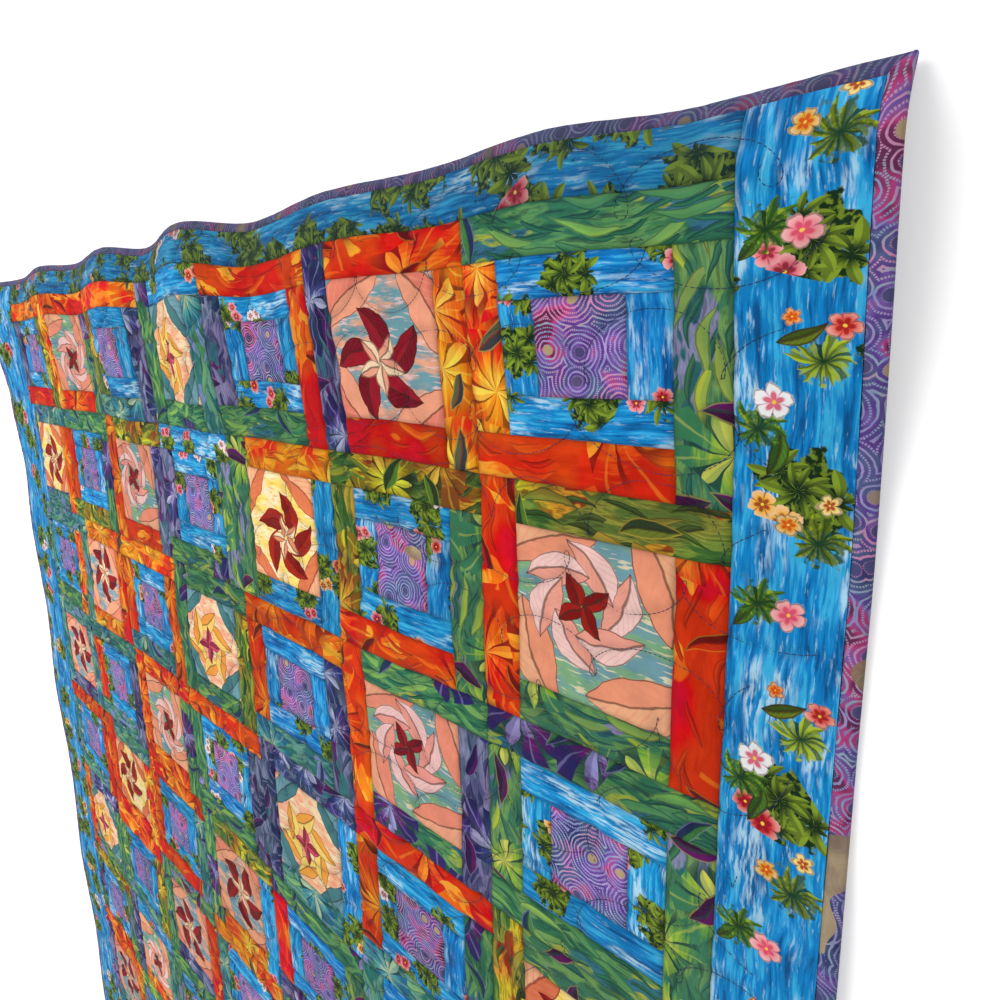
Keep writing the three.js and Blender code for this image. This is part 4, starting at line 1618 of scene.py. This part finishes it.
def kept(name, make):
    """What make gives, made when it is first asked for by this name."""
    if name not in KEPT:
        KEPT[name] = make()
    return KEPT[name]


def cloth(kind, name, *values, **named):
    """The material of this name, a cloth of this kind."""
    return kept(name, lambda: kind(name, *values, **named))


def settings():
    return bpy.context.scene.quilt_sizes, bpy.context.scene.quilt_colours


def quilt_face():
    """The face, worked out once for all the pieces that lie on it."""
    return kept("face", lambda: Face(settings()[0]))


def grid_cell():
    return BLOCK_LENGTH / settings()[0].block_cells


def water(name, clumps, **more):
    return cloth(water_cloth, name, settings()[1], clumps, **more)


def patch_cloths():
    """Every cloth of the patchwork, by the letter or number that the plan uses."""
    cloths = {
        "W": water("Water print for strips", (0.056, 0.022, 0.55)),
        "S": cloth(ring_cloth, "Ring print", 0.036, 0.0),
    }
    for letter, (name, *design) in LEAF_PRINTS.items():
        cloths[letter] = cloth(leaf_cloth, f"{name} leaf print", *design)
    for number, (name, *design) in PANELS.items():
        cloths[number] = cloth(panel_cloth, f"Panel with a {name} wreath", *design)
    return cloths


class QUILT_OT_blocks(Operator):
    """Piece the patchwork, one row of blocks after another"""

    bl_idname = "quilt.blocks"
    bl_label = "Piece the blocks"

    def execute(self, context):
        cloths = patch_cloths()
        rows = [piece_row(row, quilt_face(), cloths, grid_cell()) for row in range(ROWS)]
        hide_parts("pieced_centre")
        return {"FINISHED"}


class QUILT_OT_borders(Operator):
    """Sew on the four borders of the water print"""

    bl_idname = "quilt.borders"
    bl_label = "Sew the borders"

    def execute(self, context):
        # the end borders are darkened with painted shade, depth 0.4
        ends = water("Water print for end borders", (0.056, 0.030, 0.85), depth=0.4)
        start = BORDERS["right"]["start"]
        sides = dict(
            head=ends,
            foot=ends,
            left=water("Water print for the left border", (0.070, 0.030, 0.75)),
            right=water("Water print with sprigs", (0.070, 0.028, 0.35), start=start),
        )
        for side, strip in sides.items():
            sew_border(side, quilt_face(), strip, grid_cell())
        return {"FINISHED"}


class QUILT_OT_binding(Operator):
    """Fold the binding round the quilt's four edges"""

    bl_idname = "quilt.binding"
    bl_label = "Bind the edges"

    def execute(self, context):
        rings = cloth(ring_cloth, "Ring print for binding", 0.022, 0.34, 0.28)
        # the head binding is darkened toward slate with painted shade, depth 0.7
        deep = cloth(ring_cloth, "Ring print for the head binding", 0.024, 0.0, 0.7)
        for side in BORDERS:
            fold_binding(side, deep if side == "head" else rings)
        return {"FINISHED"}


class QUILT_OT_backing(Operator):
    """Lay the plain backing under the quilt"""

    bl_idname = "quilt.backing"
    bl_label = "Lay the backing"

    def execute(self, context):
        lay_backing(cloth(plain_cloth, "Backing cotton", settings()[1].backing))
        return {"FINISHED"}


class QUILT_OT_quilting(Operator):
    """Sew the looping lines of quilting in dark thread"""

    bl_idname = "quilt.quilting"
    bl_label = "Quilt the layers"

    def execute(self, context):
        sizes, colours = settings()
        thread = cloth(thread_cotton, "Quilting thread", colours.thread)
        stitch = make_stitch(sizes)
        group = sewing_group()
        lines = quilt_face().lines
        share = math.ceil(len(lines) / THREAD_PIECES)
        for k in range(THREAD_PIECES):
            part = lines[k * share : (k + 1) * share]
            sew_lines(f"quilting_{k + 1}", part, quilt_face(), sizes, stitch, group, thread)
        bpy.data.objects.remove(stitch)
        return {"FINISHED"}


# ---------------------------------------------------------------------------
# Stage
# ---------------------------------------------------------------------------

CAMERA_PLACE = (0.8862, 0.8595, 0.4112)
CAMERA_TURN = (-11.8357, 41.9889, -2.4863)  # degrees about X, Y and Z
CAMERA_LENS = 23.16
CAMERA_SHIFT = (0.0446, -0.0502)
FLOOR_SIZE = 14.0
FLOOR_GLOW = 0.35  # how much lighter the floor looks to the camera
SKY = 0.58
KEY_PLACE = (-1.6, 2.4, 3.4)
KEY_SIZE = 2.5
KEY_POWER = 100.0


def floor_material():
    """A pale floor that shows white to the camera away from the quilt's shadow."""
    material, n = new_material("Pale floor")
    place = n.node("ShaderNodeTexCoord").outputs["Object"]
    tone = n.rise(n.noise(place, 3.0, 2.0), 0.3, 0.7, 0.9, 0.92)
    glow = n.times(n.seen(), FLOOR_GLOW)
    end_material(
        n, Base_Color=n.join(tone, tone, tone), Roughness=0.9, Emission_Color=WHITE, Emission_Strength=glow
    )
    return material


class QUILT_OT_stage(Operator):
    """Set the floor, the soft lamps and the camera"""

    bl_idname = "quilt.stage"
    bl_label = "Set the stage"

    def execute(self, context):
        scene = context.scene
        scene.view_settings.view_transform = "Standard"
        deselect_all()
        bpy.ops.mesh.primitive_plane_add(size=FLOOR_SIZE, location=(0, 0, 0))
        floor = context.object
        floor.name = "floor"
        floor.data.materials.append(floor_material())
        floor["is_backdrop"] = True

        bpy.ops.object.light_add(type="AREA", location=KEY_PLACE)
        key = context.object
        key.name = "Window light"
        key.data.size = KEY_SIZE
        key.data.energy = KEY_POWER
        key.rotation_euler = (-Vector(key.location)).to_track_quat("-Z", "Y").to_euler()

        world = bpy.data.worlds.new("Studio")
        world.use_nodes = True
        world.node_tree.nodes.clear()
        n = Nodes(world.node_tree)
        strength = n.between(n.seen(), SKY, 1.0)
        sky = n.node("ShaderNodeBackground", {"Color": WHITE, "Strength": strength})
        n.node("ShaderNodeOutputWorld", {"Surface": sky.outputs[0]})
        scene.world = world

        deselect_all()
        bpy.ops.object.camera_add(location=CAMERA_PLACE, rotation=[math.radians(a) for a in CAMERA_TURN])
        camera = context.object
        camera.name = "Camera"
        camera.data.lens = CAMERA_LENS
        camera.data.sensor_width = 36.0
        camera.data.shift_x, camera.data.shift_y = CAMERA_SHIFT
        camera.data.clip_start = 0.01
        scene.camera = camera
        return {"FINISHED"}


OPERATORS = (
    QUILT_OT_stage,
    QUILT_OT_backing,
    QUILT_OT_blocks,
    QUILT_OT_borders,
    QUILT_OT_binding,
    QUILT_OT_quilting,
)


class QUILT_PT_tools(Panel):
    """The quilt's steps, in the order a maker takes them"""

    bl_label = "Patchwork quilt"
    bl_space_type = "VIEW_3D"
    bl_region_type = "UI"
    bl_category = "Quilt"

    def draw(self, context):
        column = self.layout.column()
        for group in settings():
            for name in group.bl_rna.properties.keys():
                if name not in ("rna_type", "name"):
                    column.prop(group, name)
        for operator in OPERATORS:
            column.operator(operator.bl_idname)


CLASSES = (QuiltSizes, QuiltColours, *OPERATORS, QUILT_PT_tools)


def register():
    for kind in CLASSES:
        bpy.utils.register_class(kind)
    bpy.types.Scene.quilt_sizes = PointerProperty(type=QuiltSizes)
    bpy.types.Scene.quilt_colours = PointerProperty(type=QuiltColours)


def unregister():
    del bpy.types.Scene.quilt_colours
    del bpy.types.Scene.quilt_sizes
    for kind in reversed(CLASSES):
        bpy.utils.unregister_class(kind)


def main():
    register()
    bpy.ops.quilt.stage()
    bpy.ops.quilt.backing()
    bpy.ops.quilt.blocks()
    bpy.ops.quilt.borders()
    bpy.ops.quilt.binding()
    bpy.ops.quilt.quilting()
    [[list(corner) for corner in box] for box in (CAD_BOX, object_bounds())]


if __name__ == "__main__":
    main()
